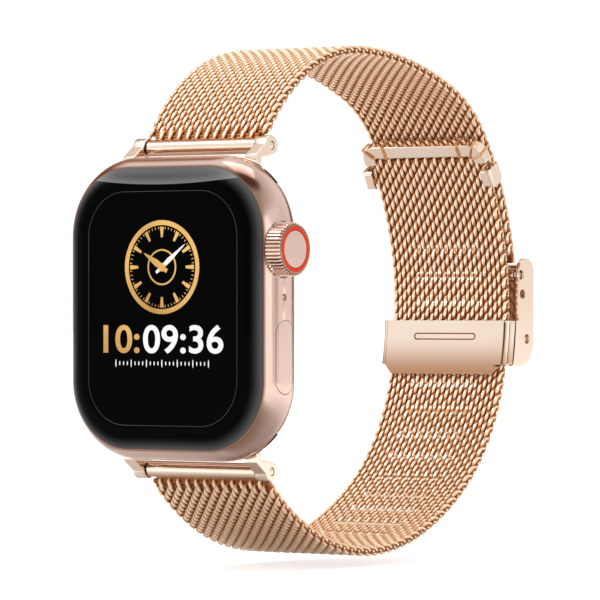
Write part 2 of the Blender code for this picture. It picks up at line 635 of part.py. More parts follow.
def build_clasp():
    bend = 0.9
    rings = []
    for degrees in (0, 22.5, 45, 67.5, 90):
        angle = math.radians(degrees)
        x = CHEEK_OUTER_X - bend + bend * math.cos(angle)
        front = PLATE_R + bend - bend * math.sin(angle)
        rings.append((x, min(front, PLATE_R + PLATE_T - 0.02)))
    rings = [[(x, y, z) for y, z in frame_outline(front)] for x, front in rings]
    rings += [[(-x, y, z) for x, y, z in ring] for ring in reversed(rings)]
    frame = solid("clasp_frame", *loft(rings), "gold")
    room = [polar(PLATE_R + PLATE_T, a) for a in spread(-19, PLATE_TOP_DEG + 0.8, 7)]
    room += [(60.0, -1.1), (60.0, 12.0), (75.0, 12.0), (75.0, -15.0)]
    combine(frame, cutter("cut_clasp_room", *along_x(room, -CHEEK_INNER_X, CHEEK_INNER_X)), "DIFFERENCE")
    for hand, sign in (("left", -1), ("right", 1)):
        corner = [(sign * 14.0, -8.75), (sign * 11.0, -8.75), (sign * 8.6, -11.2), (sign * 14.0, -11.2)]
        combine(frame, cutter("cut_plate_corner_" + hand, *along_y(corner, 59.0, 62.9)), "DIFFERENCE")
    holes = [("bar", BAR_Y, BAR_Z), ("spare", SPARE_HOLE_Y, SPARE_HOLE_Z)]
    holes.append(("lever", LEVER_PIN_Y, LEVER_PIN_Z))
    for name, y, z in holes:
        hole = cutter("cut_hole_" + name, *spun_x([(-13, HOLE_R), (13, HOLE_R)], y, z, 16))
        combine(frame, hole, "DIFFERENCE")
    tab = [(x, z) for z, x in stadium(-4.35, 0.0, 0.55, 5.8)]
    combine(frame, cutter("cut_pry_recess", *along_y(tab, 58.0, 61.95)), "DIFFERENCE")

    bar = [(-11.75, 0.45), (-11.2, 0.6), (11.2, 0.6), (11.75, 0.45)]
    solid("clasp_spring_bar", *spun_x(bar, BAR_Y, BAR_Z, 16), "steel")
    pin = [(-11.8, 0.6), (11.8, 0.6)]
    solid("clasp_lever_pin", *spun_x(pin, LEVER_PIN_Y, LEVER_PIN_Z, 16), "steel")
    outline = [(68.4, -6.9), (68.7, -6.5), (68.75, 0.0), (68.7, 6.3), (68.45, 6.9), (67.95, 6.9)]
    outline += [(67.9, -2.9), (66.9, -3.2), (65.6, -3.7), (64.6, -4.3), (64.55, -5.0)]
    outline += [(65.5, -5.8), (66.9, -6.35), (67.8, -6.9)]
    lever = solid("clasp_lever", *along_x(outline, -10.95, 10.95), "gold")
    bore = cutter("cut_lever_bore", *spun_x([(-12, 0.68), (12, 0.68)], LEVER_PIN_Y, LEVER_PIN_Z, 16))
    combine(lever, bore, "DIFFERENCE")


def mark_axis(name, x, y, z):
    mark = bpy.data.objects.new(name, None)
    mark.location = Vector((x, y, z)) * MM
    mark.empty_display_size = 0.004
    PARTS.objects.link(mark)
    return mark


def hang(names, mark):
    """Parent pieces to the empty on their joint without moving them."""
    for name in names:
        piece = bpy.data.objects[name]
        piece.parent = mark
        piece.matrix_parent_inverse.translation = -mark.location


# ================================================================ build
LOOKS = {
    "rose": ((0.72, 0.50, 0.42), 1.0, 0.28),
    "gold": ((0.85, 0.60, 0.45), 1.0, 0.18),
    "weave": ((0.80, 0.50, 0.34), 1.0, 0.30),
    "steel": ((0.60, 0.60, 0.62), 1.0, 0.30),
    "brass": ((0.78, 0.60, 0.30), 1.0, 0.30),
    "copper": ((0.72, 0.38, 0.22), 1.0, 0.35),
    "foil": ((0.35, 0.36, 0.38), 0.6, 0.45),
    "board": ((0.03, 0.16, 0.10), 0.0, 0.50),
    "black_glass": ((0.008, 0.008, 0.010), 0.0, 0.04),
    "black_plastic": ((0.02, 0.02, 0.022), 0.0, 0.45),
    "black_rubber": ((0.015, 0.015, 0.015), 0.0, 0.70),
    "ceramic": ((0.05, 0.05, 0.055), 0.0, 0.15),
    "sapphire": ((0.03, 0.03, 0.035), 0.0, 0.05),
    "red_enamel": ((0.80, 0.06, 0.02), 0.0, 0.30),
}

clear_scene()
PARTS = new_collection("smartwatch")
CUTTERS = new_collection("cutters")

build_case()
build_display()
build_inside()
build_crown()
build_buttons()
build_adapter("upper", lambda shape: shape)
build_adapter("lower", flipped)
FLEX_Y, FLEX_Z, FLEX_HEADING = build_upper_strap()
build_lower_strap()
trim_tail_corners()
build_tail_end()
build_keeper()
build_clasp()

CROWN_AXIS = mark_axis("axis_crown", CROWN_BASE_X, CROWN_Y, CROWN_Z)
hang(["crown_knob", "crown_ring", "crown_cap", "crown_shaft", "crown_encoder"], CROWN_AXIS)
hang(["strap_tube_upper", "strap_upper_near"], mark_axis("axis_upper_pin", 0, PIN_Y, PIN_Z))
hang(["strap_upper_far", "strap_end_tube"], mark_axis("axis_flex", 0, FLEX_Y, FLEX_Z))
hang(["strap_tube_lower", "strap_lower", "tail_end_bar"], mark_axis("axis_lower_pin", 0, PIN_Y, -PIN_Z))
hang(["clasp_lever"], mark_axis("axis_lever", 0, LEVER_PIN_Y, LEVER_PIN_Z))
CLASP_AXIS = mark_axis("axis_clasp_arc", 0, CENTRE_Y, 0)
hang(["clasp_frame", "clasp_spring_bar", "clasp_lever_pin", "keeper_loop"], CLASP_AXIS)
print("flex axis", FLEX_Y, FLEX_Z, FLEX_HEADING)
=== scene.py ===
"""Smartwatch on a woven metal band: the finished look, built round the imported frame."""
import json
import math

import bpy
import numpy as np
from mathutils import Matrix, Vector


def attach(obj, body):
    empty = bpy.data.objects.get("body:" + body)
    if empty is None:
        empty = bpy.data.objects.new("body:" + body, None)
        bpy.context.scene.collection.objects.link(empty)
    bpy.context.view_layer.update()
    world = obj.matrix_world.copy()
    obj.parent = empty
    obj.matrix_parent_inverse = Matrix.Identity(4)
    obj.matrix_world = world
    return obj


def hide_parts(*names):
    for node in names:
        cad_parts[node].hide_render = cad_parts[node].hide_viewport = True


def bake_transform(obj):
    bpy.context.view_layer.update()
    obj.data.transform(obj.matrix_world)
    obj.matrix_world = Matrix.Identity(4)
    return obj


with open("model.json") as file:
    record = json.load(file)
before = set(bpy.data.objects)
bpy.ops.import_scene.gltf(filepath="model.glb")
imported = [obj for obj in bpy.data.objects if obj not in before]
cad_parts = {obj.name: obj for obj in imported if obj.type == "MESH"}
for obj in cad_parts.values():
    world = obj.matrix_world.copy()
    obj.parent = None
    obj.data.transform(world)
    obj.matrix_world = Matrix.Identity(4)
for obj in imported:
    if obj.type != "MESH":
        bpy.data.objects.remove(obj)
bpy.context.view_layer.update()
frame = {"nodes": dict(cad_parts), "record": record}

MM = 0.001

# ---------------------------------------------------------------- sizes, in millimetres
CASE_SIZE = (37.8, 9.4, 44.0)
CASE_CORNER = 11.5
MID_Y = -5.7
FRONT_Y = -10.7
BACK_Y = -1.3
GLASS_SEAM_Y = -9.5
FRONT_ROUND = 4.7
BACK_ROUND = 4.5
CROWN_Y = MID_Y - 1.4
CROWN_Z = 8.4
CROWN_R = 3.87
CROWN_TEETH = 44
BUTTON_Y = MID_Y - 0.6
BUTTON_Z = -6.93
SLOT_Y = MID_Y + 2.0

BAND_HALF_T = 0.8
BAND_HALF_W = 10.95
PIN_Y = -0.6
PIN_Z = 23.5
ARM_END_R = 1.45
CENTRE_Y = 20.7
TAIL_R = 42.9
OUTER_R = 45.0
UPPER_ARCS = ((20.544, 30.27), (61.266, 23.516), (28.166, 62.022))
LOWER_ARCS = ((30.748, 39.848), (46.306, 13.621), (36.565, 69.702))

WIRE_R = 0.27
ROW_PITCH = 0.93
TURN_PITCH = 1.68
TURN_REACH = 0.98       # how far a turn reaches along the band from its row
SIDES = 6
STEPS = 12              # stations in one turn of a coil

TAIL_TOP = 33.8         # degrees above the centre where the tail's weave ends
GROOVE_FIRST = 15.7
GROOVE_PITCH = 4.35
GROOVE_ROWS = 14
TAIL_BAR_TOP = 36.8     # degrees
KEEPER_MIDDLE = 28.95   # degrees
KEEPER_HALF = 2.1       # degrees
TUBE_HALF_LENGTH = 9.75

PLATE_R = 41.2
PLATE_T = 0.6
CHEEK_INNER_X = 11.25
CHEEK_OUTER_X = 11.9
BAR_YZ = 65.39, 5.25            # spring bar through the upper strap's eye
SPARE_YZ = 65.75, 2.2
LEVER_PIN_YZ = 67.0, -4.76

DIAL_MIDDLE = 0.0, 5.95
PICTURE_T = 0.015
FLOOR_Z = -0.0385               # metres


# ================================================================ hands
def rest_hands():
    """Leave edit mode with nothing selected."""
    if bpy.context.object and bpy.context.object.mode != "OBJECT":
        bpy.ops.object.mode_set(mode="OBJECT")
    bpy.ops.object.select_all(action="DESELECT")


def take(obj):
    rest_hands()
    obj.select_set(True)
    bpy.context.view_layer.objects.active = obj
    return obj


def settle(obj, name):
    """Name a piece and put its place into its mesh."""
    take(obj)
    obj.name = name
    obj.data.name = name
    bpy.ops.object.transform_apply(location=True, rotation=True, scale=True)
    return obj


def block(name, low, high):
    """Box between two corners in millimetres."""
    rest_hands()
    size = [(b - a) * MM for a, b in zip(low, high)]
    mid = [(a + b) / 2 * MM for a, b in zip(low, high)]
    bpy.ops.mesh.primitive_cube_add(size=1, location=mid)
    obj = bpy.context.object
    obj.scale = size
    return settle(obj, name)


def rod(name, axis, low, high, a, b, radius, vertices=48):
    """Cylinder along x, y or z between two planes; a and b place it on the other two axes."""
    rest_hands()
    middle = (low + high) / 2
    place, turn = {
        "x": ((middle, a, b), (0, math.pi / 2, 0)),
        "y": ((a, middle, b), (math.pi / 2, 0, 0)),
        "z": ((a, b, middle), (0, 0, 0)),
    }[axis]
    bpy.ops.mesh.primitive_cylinder_add(vertices=vertices, radius=radius * MM, depth=(high - low) * MM,
                                        location=Vector(place) * MM, rotation=turn)
    return settle(bpy.context.object, name)


def slab(name, outline, axis, low, high):
    """A flat outline filled and extruded along x or y. The outline is (y, z) for x and (x, z) for y."""
    rest_hands()
    bpy.ops.mesh.primitive_circle_add(vertices=len(outline), radius=1, fill_type="NGON")
    obj = bpy.context.object
    for corner, (a, b) in zip(obj.data.vertices, outline):
        corner.co = Vector((low, a, b)) * MM if axis == "x" else Vector((a, low, b)) * MM
    bpy.ops.object.mode_set(mode="EDIT")
    bpy.ops.mesh.select_all(action="SELECT")
    far = (high - low) * MM
    move = (far, 0, 0) if axis == "x" else (0, far, 0)
    bpy.ops.mesh.extrude_region_move(TRANSFORM_OT_translate={"value": move})
    obj.name = name
    obj.data.name = name
    return face_outward(obj)


def bevel_edges(obj, wanted, width, segments, profile=0.5):
    """Bevel the edges for which wanted(middle in mm, direction) is true."""
    take(obj)
    mesh = obj.data
    for item in (*mesh.vertices, *mesh.edges, *mesh.polygons):
        item.select = False
    for edge in mesh.edges:
        a, b = (mesh.vertices[i].co / MM for i in edge.vertices)
        edge.select = bool(wanted((a + b) / 2, (b - a).normalized()))
    bpy.ops.object.mode_set(mode="EDIT")
    bpy.ops.mesh.select_mode(type="EDGE")
    bpy.ops.mesh.bevel(offset=width * MM, offset_type="OFFSET", segments=segments, profile=profile,
                       clamp_overlap=True)
    rest_hands()
    return obj


def soften(obj, width, segments=2, angle=35):
    """Round every sharp edge a little."""
    take(obj)
    change = obj.modifiers.new("soften", "BEVEL")
    change.width = width * MM
    change.segments = segments
    change.limit_method = "ANGLE"
    change.angle_limit = math.radians(angle)
    bpy.ops.object.modifier_apply(modifier=change.name)
    return obj


def join_with(obj, tool, how):
    """Cut, add or intersect with a tool, which is then thrown away."""
    take(obj)
    change = obj.modifiers.new("shape", "BOOLEAN")
    change.operation = how
    change.solver = "EXACT"
    change.object = tool
    bpy.ops.object.modifier_apply(modifier=change.name)
    bpy.data.objects.remove(tool, do_unlink=True)
    return obj


def cut(obj, tool):
    return join_with(obj, tool, "DIFFERENCE")


def add(obj, tool):
    return join_with(obj, tool, "UNION")


def face_outward(obj):
    take(obj)
    bpy.ops.object.mode_set(mode="EDIT")
    bpy.ops.mesh.select_all(action="SELECT")
    bpy.ops.mesh.normals_make_consistent(inside=False)
    rest_hands()
    return obj


def new_piece(name, points, faces):
    """A piece from points in metres and faces."""
    mesh = bpy.data.meshes.new(name)
    mesh.from_pydata(points, [], faces)
    obj = bpy.data.objects.new(name, mesh)
    bpy.context.scene.collection.objects.link(obj)
    return obj


def copy_of(obj, name):
    twin = obj.copy()
    twin.data = obj.data.copy()
    twin.name = name
    bpy.context.scene.collection.objects.link(twin)
    return twin


def smooth(obj, angle=32):
    take(obj)
    bpy.ops.object.shade_smooth_by_angle(angle=math.radians(angle))
    return obj


def even_shading(obj):
    """Let the large faces rule the shading, so that cuts don't smear the reflections around them."""
    take(obj)
    change = obj.modifiers.new("even", "WEIGHTED_NORMAL")
    change.keep_sharp = True
    change.weight = 60
    bpy.ops.object.modifier_apply(modifier=change.name)


def lower_twin(obj, name):
    """The same piece for the 6 o'clock side."""
    twin = copy_of(obj, name)
    take(twin)
    twin.scale = (1, 1, -1)
    bpy.ops.object.transform_apply(location=False, rotation=False, scale=True)
    return face_outward(twin)


def wear(obj, material):
    obj.data.materials.clear()
    obj.data.materials.append(material)
    return obj


def done(obj, material, body, slot, *nodes, angle=32):
    """Finish a piece: smooth it, give it its material and hang it on its body in place of CAD nodes."""
    smooth(obj, angle)
    if len(obj.data.polygons) < 20000:
        even_shading(obj)
    wear(obj, material)
    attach(obj, body)
    if nodes:
        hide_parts(*nodes)
    return obj


def finish_pair(upper, lower_name, material, bodies, slot, node):
    """Finish a piece of the 12 o'clock side and its twin on the 6 o'clock side."""
    lower = lower_twin(upper, lower_name)
    done(upper, material, bodies[0], slot, node + "_upper")
    done(lower, material, bodies[1], slot, node + "_lower")


# ================================================================ outlines
def polar(radius, degrees):
    angle = math.radians(degrees)
    return CENTRE_Y + radius * math.cos(angle), radius * math.sin(angle)


def arc(a, b, radius, start, end, count):
    """Points of an arc about (a, b), in degrees."""
    points = []
    for i in range(count + 1):
        angle = math.radians(start + (end - start) * i / count)
        points.append((a + radius * math.cos(angle), b + radius * math.sin(angle)))
    return points


def pill(a, b, half_a, half_b, count=16):
    """Slot outline that is long along b."""
    reach = half_b - half_a
    return arc(a, b + reach, half_a, 0, 180, count) + arc(a, b - reach, half_a, 180, 360, count)


def rounded(half_a, half_b, radius, count=16):
    corners = ((1, 1, 0), (-1, 1, 90), (-1, -1, 180), (1, -1, 270))
    points = []
    for sa, sb, start in corners:
        points += arc(sa * (half_a - radius), sb * (half_b - radius), radius, start, start + 90, count)
    return points


# ================================================================ materials
def new_material(name):
    material = bpy.data.materials.new(name)
    material.use_nodes = True
    return material, material.node_tree, material.node_tree.nodes["Principled BSDF"]


def node(tree, kind, **values):
    """A new node; each value goes to the input of that name, or else to the property of that name."""
    made = tree.nodes.new(kind)
    for key, value in values.items():
        if key in made.inputs:
            made.inputs[key].default_value = value
        else:
            setattr(made, key, value)
    return made


def feed(tree, socket, value):
    """Give a socket a number, a colour or another node's output."""
    if isinstance(value, tuple):
        socket.default_value = (*value, 1)
    elif isinstance(value, (int, float)):
        socket.default_value = value
    else:
        tree.links.new(value, socket)


def object_noise(tree, scale, detail=3.0):
    """Noise in the piece's own space, in turns per metre."""
    place = node(tree, "ShaderNodeTexCoord")
    noise = node(tree, "ShaderNodeTexNoise", Scale=scale, Detail=detail)
    tree.links.new(place.outputs["Object"], noise.inputs["Vector"])
    return noise.outputs["Fac"]


def position(tree, distances=False):
    """The piece's own X, Y and Z, or their distances from the three middle planes."""
    vector = node(tree, "ShaderNodeTexCoord").outputs["Object"]
    if distances:
        size = node(tree, "ShaderNodeVectorMath", operation="ABSOLUTE")
        tree.links.new(vector, size.inputs[0])
        vector = size.outputs["Vector"]
    split = node(tree, "ShaderNodeSeparateXYZ")
    tree.links.new(vector, split.inputs["Vector"])
    return split.outputs


def distance_from_axis(tree, y, z):
    """Distance from the line along x through (y, z)."""
    vector = node(tree, "ShaderNodeTexCoord").outputs["Object"]
    for operation, other in (("SUBTRACT", Vector((0, y, z)) * MM), ("MULTIPLY", (0, 1, 1))):
        step = node(tree, "ShaderNodeVectorMath", operation=operation)
        step.inputs[1].default_value = other
        tree.links.new(vector, step.inputs[0])
        vector = step.outputs["Vector"]
    length = node(tree, "ShaderNodeVectorMath", operation="LENGTH")
    tree.links.new(vector, length.inputs[0])
    return length.outputs["Value"]


def math_of(tree, operation, *values):
    made = node(tree, "ShaderNodeMath", operation=operation)
    for socket, value in zip(made.inputs, values):
        feed(tree, socket, value)
    return made.outputs["Value"]


def eased(tree, source, start, end, low=0.0, high=1.0, how="SMOOTHSTEP"):
    """A value that goes from low to high while its source goes from start to end."""
    made = node(tree, "ShaderNodeMapRange", interpolation_type=how)
    for name, value in (("From Min", start), ("From Max", end), ("To Min", low), ("To Max", high)):
        made.inputs[name].default_value = value
    tree.links.new(source, made.inputs["Value"])
    return made.outputs["Result"]


def spread(tree, noise, low, high):
    """Noise stretched over a range."""
    return eased(tree, noise, 0.3, 0.7, low, high, "LINEAR")


def mixed(tree, factor, a, b, how="MIX"):
    """Blend of two colours, a where factor is 0 and b where it is 1."""
    made = node(tree, "ShaderNodeMix", data_type="RGBA", blend_type=how)
    feed(tree, made.inputs["Factor"], factor)
    feed(tree, made.inputs["A"], a)
    feed(tree, made.inputs["B"], b)
    return made.outputs["Result"]


def ramp(tree, source, stops):
    """Colour that runs through (place, colour) stops."""
    made = node(tree, "ShaderNodeValToRGB")
    elements = made.color_ramp.elements
    for element, (place, colour) in zip(elements, (stops[0], stops[-1])):
        element.position = place
        element.color = (*colour, 1)
    for place, colour in stops[1:-1]:
        elements.new(place).color = (*colour, 1)
    tree.links.new(source, made.inputs["Fac"])
    return made.outputs["Color"]


def relief(tree, shader, height, strength, distance):
    bump = node(tree, "ShaderNodeBump", Strength=strength, Distance=distance)
    tree.links.new(height, bump.inputs["Height"])
    tree.links.new(bump.outputs["Normal"], shader.inputs["Normal"])


def tint(material, factor, tone):
    """Lay a tone over a material's colour where factor is 1."""
    tree = material.node_tree
    colour = tree.nodes["Principled BSDF"].inputs["Base Color"]
    tree.links.new(mixed(tree, factor, colour.links[0].from_socket, tone), colour)
    return material


def metal(name, colour, deep, rough_low, rough_high):
    """Plated or anodised metal: two close tones, uneven gloss and a fine grain."""
    material, tree, shader = new_material(name)
    shader.inputs["Metallic"].default_value = 1.0
    patches = spread(tree, object_noise(tree, 60.0, 4.0), 0.0, 1.0)
    feed(tree, shader.inputs["Base Color"], mixed(tree, patches, deep, colour))
    fine = object_noise(tree, 9000.0, 2.0)
    feed(tree, shader.inputs["Roughness"], spread(tree, fine, rough_low, rough_high))
    relief(tree, shader, fine, 0.25, 0.00000008)
    return material


def painted_edge_shade(material, tone, start, end):
    """Painted shade: deepen a metal's colour where its surface turns away from the viewer, in place of the
    darker reflections along its rims.
    """
    tree = material.node_tree
    facing = node(tree, "ShaderNodeLayerWeight", Blend=0.5)
    return tint(material, eased(tree, facing.outputs["Facing"], start, end), tone)


def painted_seam_shade(material, tone):
    """Painted shade and painted reflection: darken the case in a thin line along the glass, wider round the
    four corners.
    """
    tree = material.node_tree
    away = position(tree, distances=True)
    cornerward = math_of(tree, "ADD", away["X"], away["Z"])
    reach = eased(tree, cornerward, 29.8 * MM, 34.4 * MM, 0.3 * MM, 3.8 * MM)
    behind_seam = math_of(tree, "SUBTRACT", -GLASS_SEAM_Y * MM, away["Y"])
    share = math_of(tree, "DIVIDE", behind_seam, reach)
    return tint(material, eased(tree, share, 0.0, 1.0, 0.85, 0.0), tone)


def neck_tone(material, tone):
    """Deepen an adapter between its two arms, in the shade of the tube and the weave."""
    tree = material.node_tree
    away = position(tree, distances=True)
    inward = eased(tree, away["X"], 9.6 * MM, 10.2 * MM, 1.0, 0.0)
    outside_case = eased(tree, away["Z"], 20.8 * MM, 21.7 * MM)
    return tint(material, math_of(tree, "MULTIPLY", inward, outside_case), tone)


def wire_metal():
    """Rose wire with painted light: painted highlights where the coils face out, painted shade in the gaps
    between them.
    """
    material, tree, shader = new_material("woven_wire")
    shader.inputs["Metallic"].default_value = 1.0
    height = node(tree, "ShaderNodeAttribute", attribute_name="height")
    # The ramp runs from painted shade in the gaps to a painted highlight on the crests.
    stops = ((0.30, (0.26, 0.095, 0.034)), (0.58, (0.58, 0.285, 0.125)), (0.83, (0.88, 0.62, 0.41)),
             (0.95, (1.0, 0.92, 0.80)))
    colour = ramp(tree, height.outputs["Fac"], stops)
    feed(tree, shader.inputs["Base Color"], colour)
    # The wire glows faintly in its own colour as painted light; it is no lamp.
    feed(tree, shader.inputs["Emission Color"], colour)
    shader.inputs["Emission Strength"].default_value = 0.14
    fine = object_noise(tree, 2500.0, 2.0)
    feed(tree, shader.inputs["Roughness"], spread(tree, fine, 0.18, 0.32))
    relief(tree, shader, fine, 0.2, 0.00001)
    return material


def knurled_metal():
    """Rose knob with painted shade in its grooves, darker than the tops of its teeth."""
    material = metal("knurled_rose", (0.86, 0.68, 0.60), (0.80, 0.61, 0.53), 0.16, 0.24)
    tree = material.node_tree
    radius = distance_from_axis(tree, CROWN_Y, CROWN_Z)
    return tint(material, eased(tree, radius, 3.52 * MM, 3.74 * MM, 1.0, 0.0), (0.36, 0.19, 0.12))


def plate_metal():
    """Polished inner plate with a painted reflection, pale at its top and deeper rose lower down, and painted
    shade in its groove.
    """
    material = metal("polished_plate", (0.93, 0.76, 0.64), (0.90, 0.72, 0.59), 0.10, 0.16)
    tree = material.node_tree
    # Painted reflection: the plate turns deeper rose towards its bottom.
    lower = eased(tree, position(tree)["Z"], -10.4 * MM, -4.2 * MM, 1.0, 0.0)
    tint(material, lower, (0.50, 0.26, 0.14))
    # Painted shade inside the sunk groove between the folds.
    radius = distance_from_axis(tree, CENTRE_Y, 0)
    sunk = math_of(tree, "GREATER_THAN", radius, (PLATE_R + 0.09) * MM)
    between_folds = math_of(tree, "LESS_THAN", position(tree, distances=True)["X"], 7.5 * MM)
    return tint(material, math_of(tree, "MULTIPLY", sunk, between_folds), (0.20, 0.075, 0.03))


def plain(name, colour, roughness, metallic=0.0, specular=0.5):
    """Moulded or painted surface with a slight unevenness."""
    material, tree, shader = new_material(name)
    shader.inputs["Metallic"].default_value = metallic
    shader.inputs["Specular IOR Level"].default_value = specular
    noise = object_noise(tree, 1500.0)
    feed(tree, shader.inputs["Base Color"], mixed(tree, noise, tuple(c * 0.8 for c in colour), colour))
    feed(tree, shader.inputs["Roughness"], spread(tree, noise, roughness * 0.85, roughness * 1.15))
    return material


def screen_glass():
    """Black glass with a painted reflection: its curved rim is painted a soft grey, most of all along the
    top.
    """
    material, tree, shader = new_material("screen_glass")
    shader.inputs["IOR"].default_value = 1.5
    shader.inputs["Specular IOR Level"].default_value = 0.02
    place = position(tree)
    # Painted reflection on the curved rim, grey towards the seam.
    rim = eased(tree, place["Y"], (FRONT_Y + 0.12) * MM, (GLASS_SEAM_Y + 0.1) * MM)
    sides = mixed(tree, rim, (0.0004, 0.0004, 0.0005), (0.10, 0.10, 0.105))
    # Painted reflection along the top: a grey crescent whose lower edge dips in the middle.
    droop = math_of(tree, "MULTIPLY", math_of(tree, "MULTIPLY", place["X"], place["X"]), -4.5)
    height = math_of(tree, "ADD", droop, place["Z"])
    height = eased(tree, height, 17.6 * MM, 20.8 * MM, how="LINEAR")
    greys = ((0.0, 0.0), (0.07, 0.0), (0.10, 0.16), (0.4, 0.075), (0.8, 0.025), (1.0, 0.002))
    top = ramp(tree, height, [(at, (grey, grey, grey * 1.03)) for at, grey in greys])
    feed(tree, shader.inputs["Base Color"], mixed(tree, 1.0, sides, top, "ADD"))
    feed(tree, shader.inputs["Roughness"], spread(tree, object_noise(tree, 300.0), 0.03, 0.06))
    return material


def lit(name, bright, deep, strength):
    """Screen picture: a soft blend of two tones that glows a little."""
    material, tree, shader = new_material(name)
    shader.inputs["Roughness"].default_value = 0.35
    shader.inputs["Emission Strength"].default_value = strength
    colour = mixed(tree, spread(tree, object_noise(tree, 120.0, 1.0), 0.0, 1.0), deep, bright)
    feed(tree, shader.inputs["Base Color"], colour)
    feed(tree, shader.inputs["Emission Color"], colour)
    return material


ROSE = (0.74, 0.55, 0.475), (0.69, 0.50, 0.43), 0.13, 0.19
GOLD = (0.93, 0.76, 0.64), (0.89, 0.70, 0.56), 0.10, 0.17
# Tones and ranges of the painted edge shade on the satin and the polished metal.
ROSE_EDGE = (0.42, 0.235, 0.165), 0.50, 0.95
GOLD_EDGE = (0.46, 0.21, 0.09), 0.44, 0.88
SATIN = painted_edge_shade(metal("satin_rose_case", *ROSE), *ROSE_EDGE)
CASE = painted_seam_shade(painted_edge_shade(metal("satin_rose_shell", *ROSE), *ROSE_EDGE), (0.22, 0.105, 0.06))
POLISHED = painted_edge_shade(metal("polished_rose", *GOLD), *GOLD_EDGE)
TUBE = painted_edge_shade(metal("polished_tube", *GOLD), (0.40, 0.18, 0.075), 0.235, 0.66)
ADAPTER = neck_tone(painted_edge_shade(metal("polished_adapter", *GOLD), *GOLD_EDGE), (0.34, 0.15, 0.065))
STEEL = metal("bare_steel", (0.80, 0.72, 0.66), (0.72, 0.64, 0.58), 0.18, 0.28)
KNURL = knurled_metal()
PLATE = plate_metal()
WIRE = wire_metal()
GLASS = screen_glass()
RED = plain("red_enamel", (0.86, 0.045, 0.006), 0.42, specular=0.15)
SEAL = plain("dark_brown_seal", (0.085, 0.028, 0.012), 0.5)
BLACK_RUBBER = plain("black_seal", (0.012, 0.012, 0.012), 0.6)
BLACK_PLASTIC = plain("black_moulding", (0.02, 0.02, 0.022), 0.45)
BRASS = metal("turned_brass", (0.80, 0.62, 0.30), (0.72, 0.54, 0.25), 0.22, 0.32)
COPPER = metal("wound_copper", (0.80, 0.42, 0.26), (0.70, 0.34, 0.20), 0.28, 0.4)
FOIL = plain("battery_wrap", (0.35, 0.36, 0.38), 0.45, 0.6)
BOARD = plain("circuit_board", (0.03, 0.16, 0.10), 0.5)
CERAMIC = plain("back_ceramic", (0.035, 0.035, 0.04), 0.12)
CRYSTAL = plain("back_crystal_glass", (0.02, 0.02, 0.024), 0.04)
SENSOR = plain("sensor_window", (0.10, 0.115, 0.13), 0.10)
GOLD_LIGHT = lit("dial_gold", (0.70, 0.42, 0.11), (0.40, 0.20, 0.035), 0.12)
WHITE_LIGHT = lit("dial_white", (0.82, 0.82, 0.82), (0.70, 0.70, 0.70), 0.12)
FAINT = lit("picture_border", (0.030, 0.030, 0.032), (0.004, 0.004, 0.004), 0.02)


# ================================================================ case
def side_levels():
    """Heights through the watch head and how far the outline steps in at each."""
    levels = []
    for i in range(23):
        angle = math.radians(90 - 90 * i / 22)
        levels.append((FRONT_Y + FRONT_ROUND * (1 - math.sin(angle)), FRONT_ROUND * (1 - math.cos(angle))))
    for i in range(19):
        angle = math.radians(90 * i / 18)
        levels.append((BACK_Y - BACK_ROUND * (1 - math.sin(angle)), BACK_ROUND * (1 - math.cos(angle))))
    return levels


def head_outline(inset):
    half_x, half_z = CASE_SIZE[0] / 2 - inset, CASE_SIZE[2] / 2 - inset
    return rounded(half_x, half_z, CASE_CORNER - inset, 22)


def pebble():
    """Whole outer form of the watch head, glass and metal together, drawn up level by level."""
    levels = side_levels()
    rest_hands()
    outline = head_outline(levels[0][1])
    bpy.ops.mesh.primitive_circle_add(vertices=len(outline), radius=1, fill_type="NGON")
    obj = bpy.context.object
    for corner, (x, z) in zip(obj.data.vertices, outline):
        corner.co = Vector((x, levels[0][0], z)) * MM
    for (before, _), (y, inset) in zip(levels, levels[1:]):
        bpy.ops.object.mode_set(mode="EDIT")
        bpy.ops.mesh.extrude_region_move(TRANSFORM_OT_translate={"value": (0, (y - before) * MM, 0)})
        bpy.ops.object.mode_set(mode="OBJECT")
        moved = [vert for vert in obj.data.vertices if vert.select]
        moved.sort(key=lambda vert: math.atan2(vert.co.z, vert.co.x))
        wanted = sorted(head_outline(inset), key=lambda spot: math.atan2(spot[1], spot[0]))
        for vert, (x, z) in zip(moved, wanted):
            vert.co.x = x * MM
            vert.co.z = z * MM
    obj.name = "pebble"
    return face_outward(obj)


def slice_off(obj, y, keep_front):
    """Bisect along the seam and fill the cut."""
    take(obj)
    bpy.ops.object.mode_set(mode="EDIT")
    bpy.ops.mesh.select_all(action="SELECT")
    bpy.ops.mesh.bisect(plane_co=(0, y * MM, 0), plane_no=(0, 1, 0), use_fill=True, threshold=0.000001,
                        clear_outer=keep_front, clear_inner=not keep_front)
    rest_hands()
    return obj


def slot_outline():
    floor_z, step_z, bulb, neck, top_z = 17.6, 20.2, 1.25, 0.95, 23.5
    points = [(SLOT_Y + neck, top_z), (SLOT_Y - neck, top_z), (SLOT_Y - neck, step_z + 0.3)]
    points += arc(SLOT_Y - bulb + 0.9, floor_z + 0.9, 0.9, 180, 270, 6)
    points += arc(SLOT_Y + bulb - 0.9, floor_z + 0.9, 0.9, 270, 360, 6)
    points += [(SLOT_Y + neck, step_z + 0.3)]
    return points


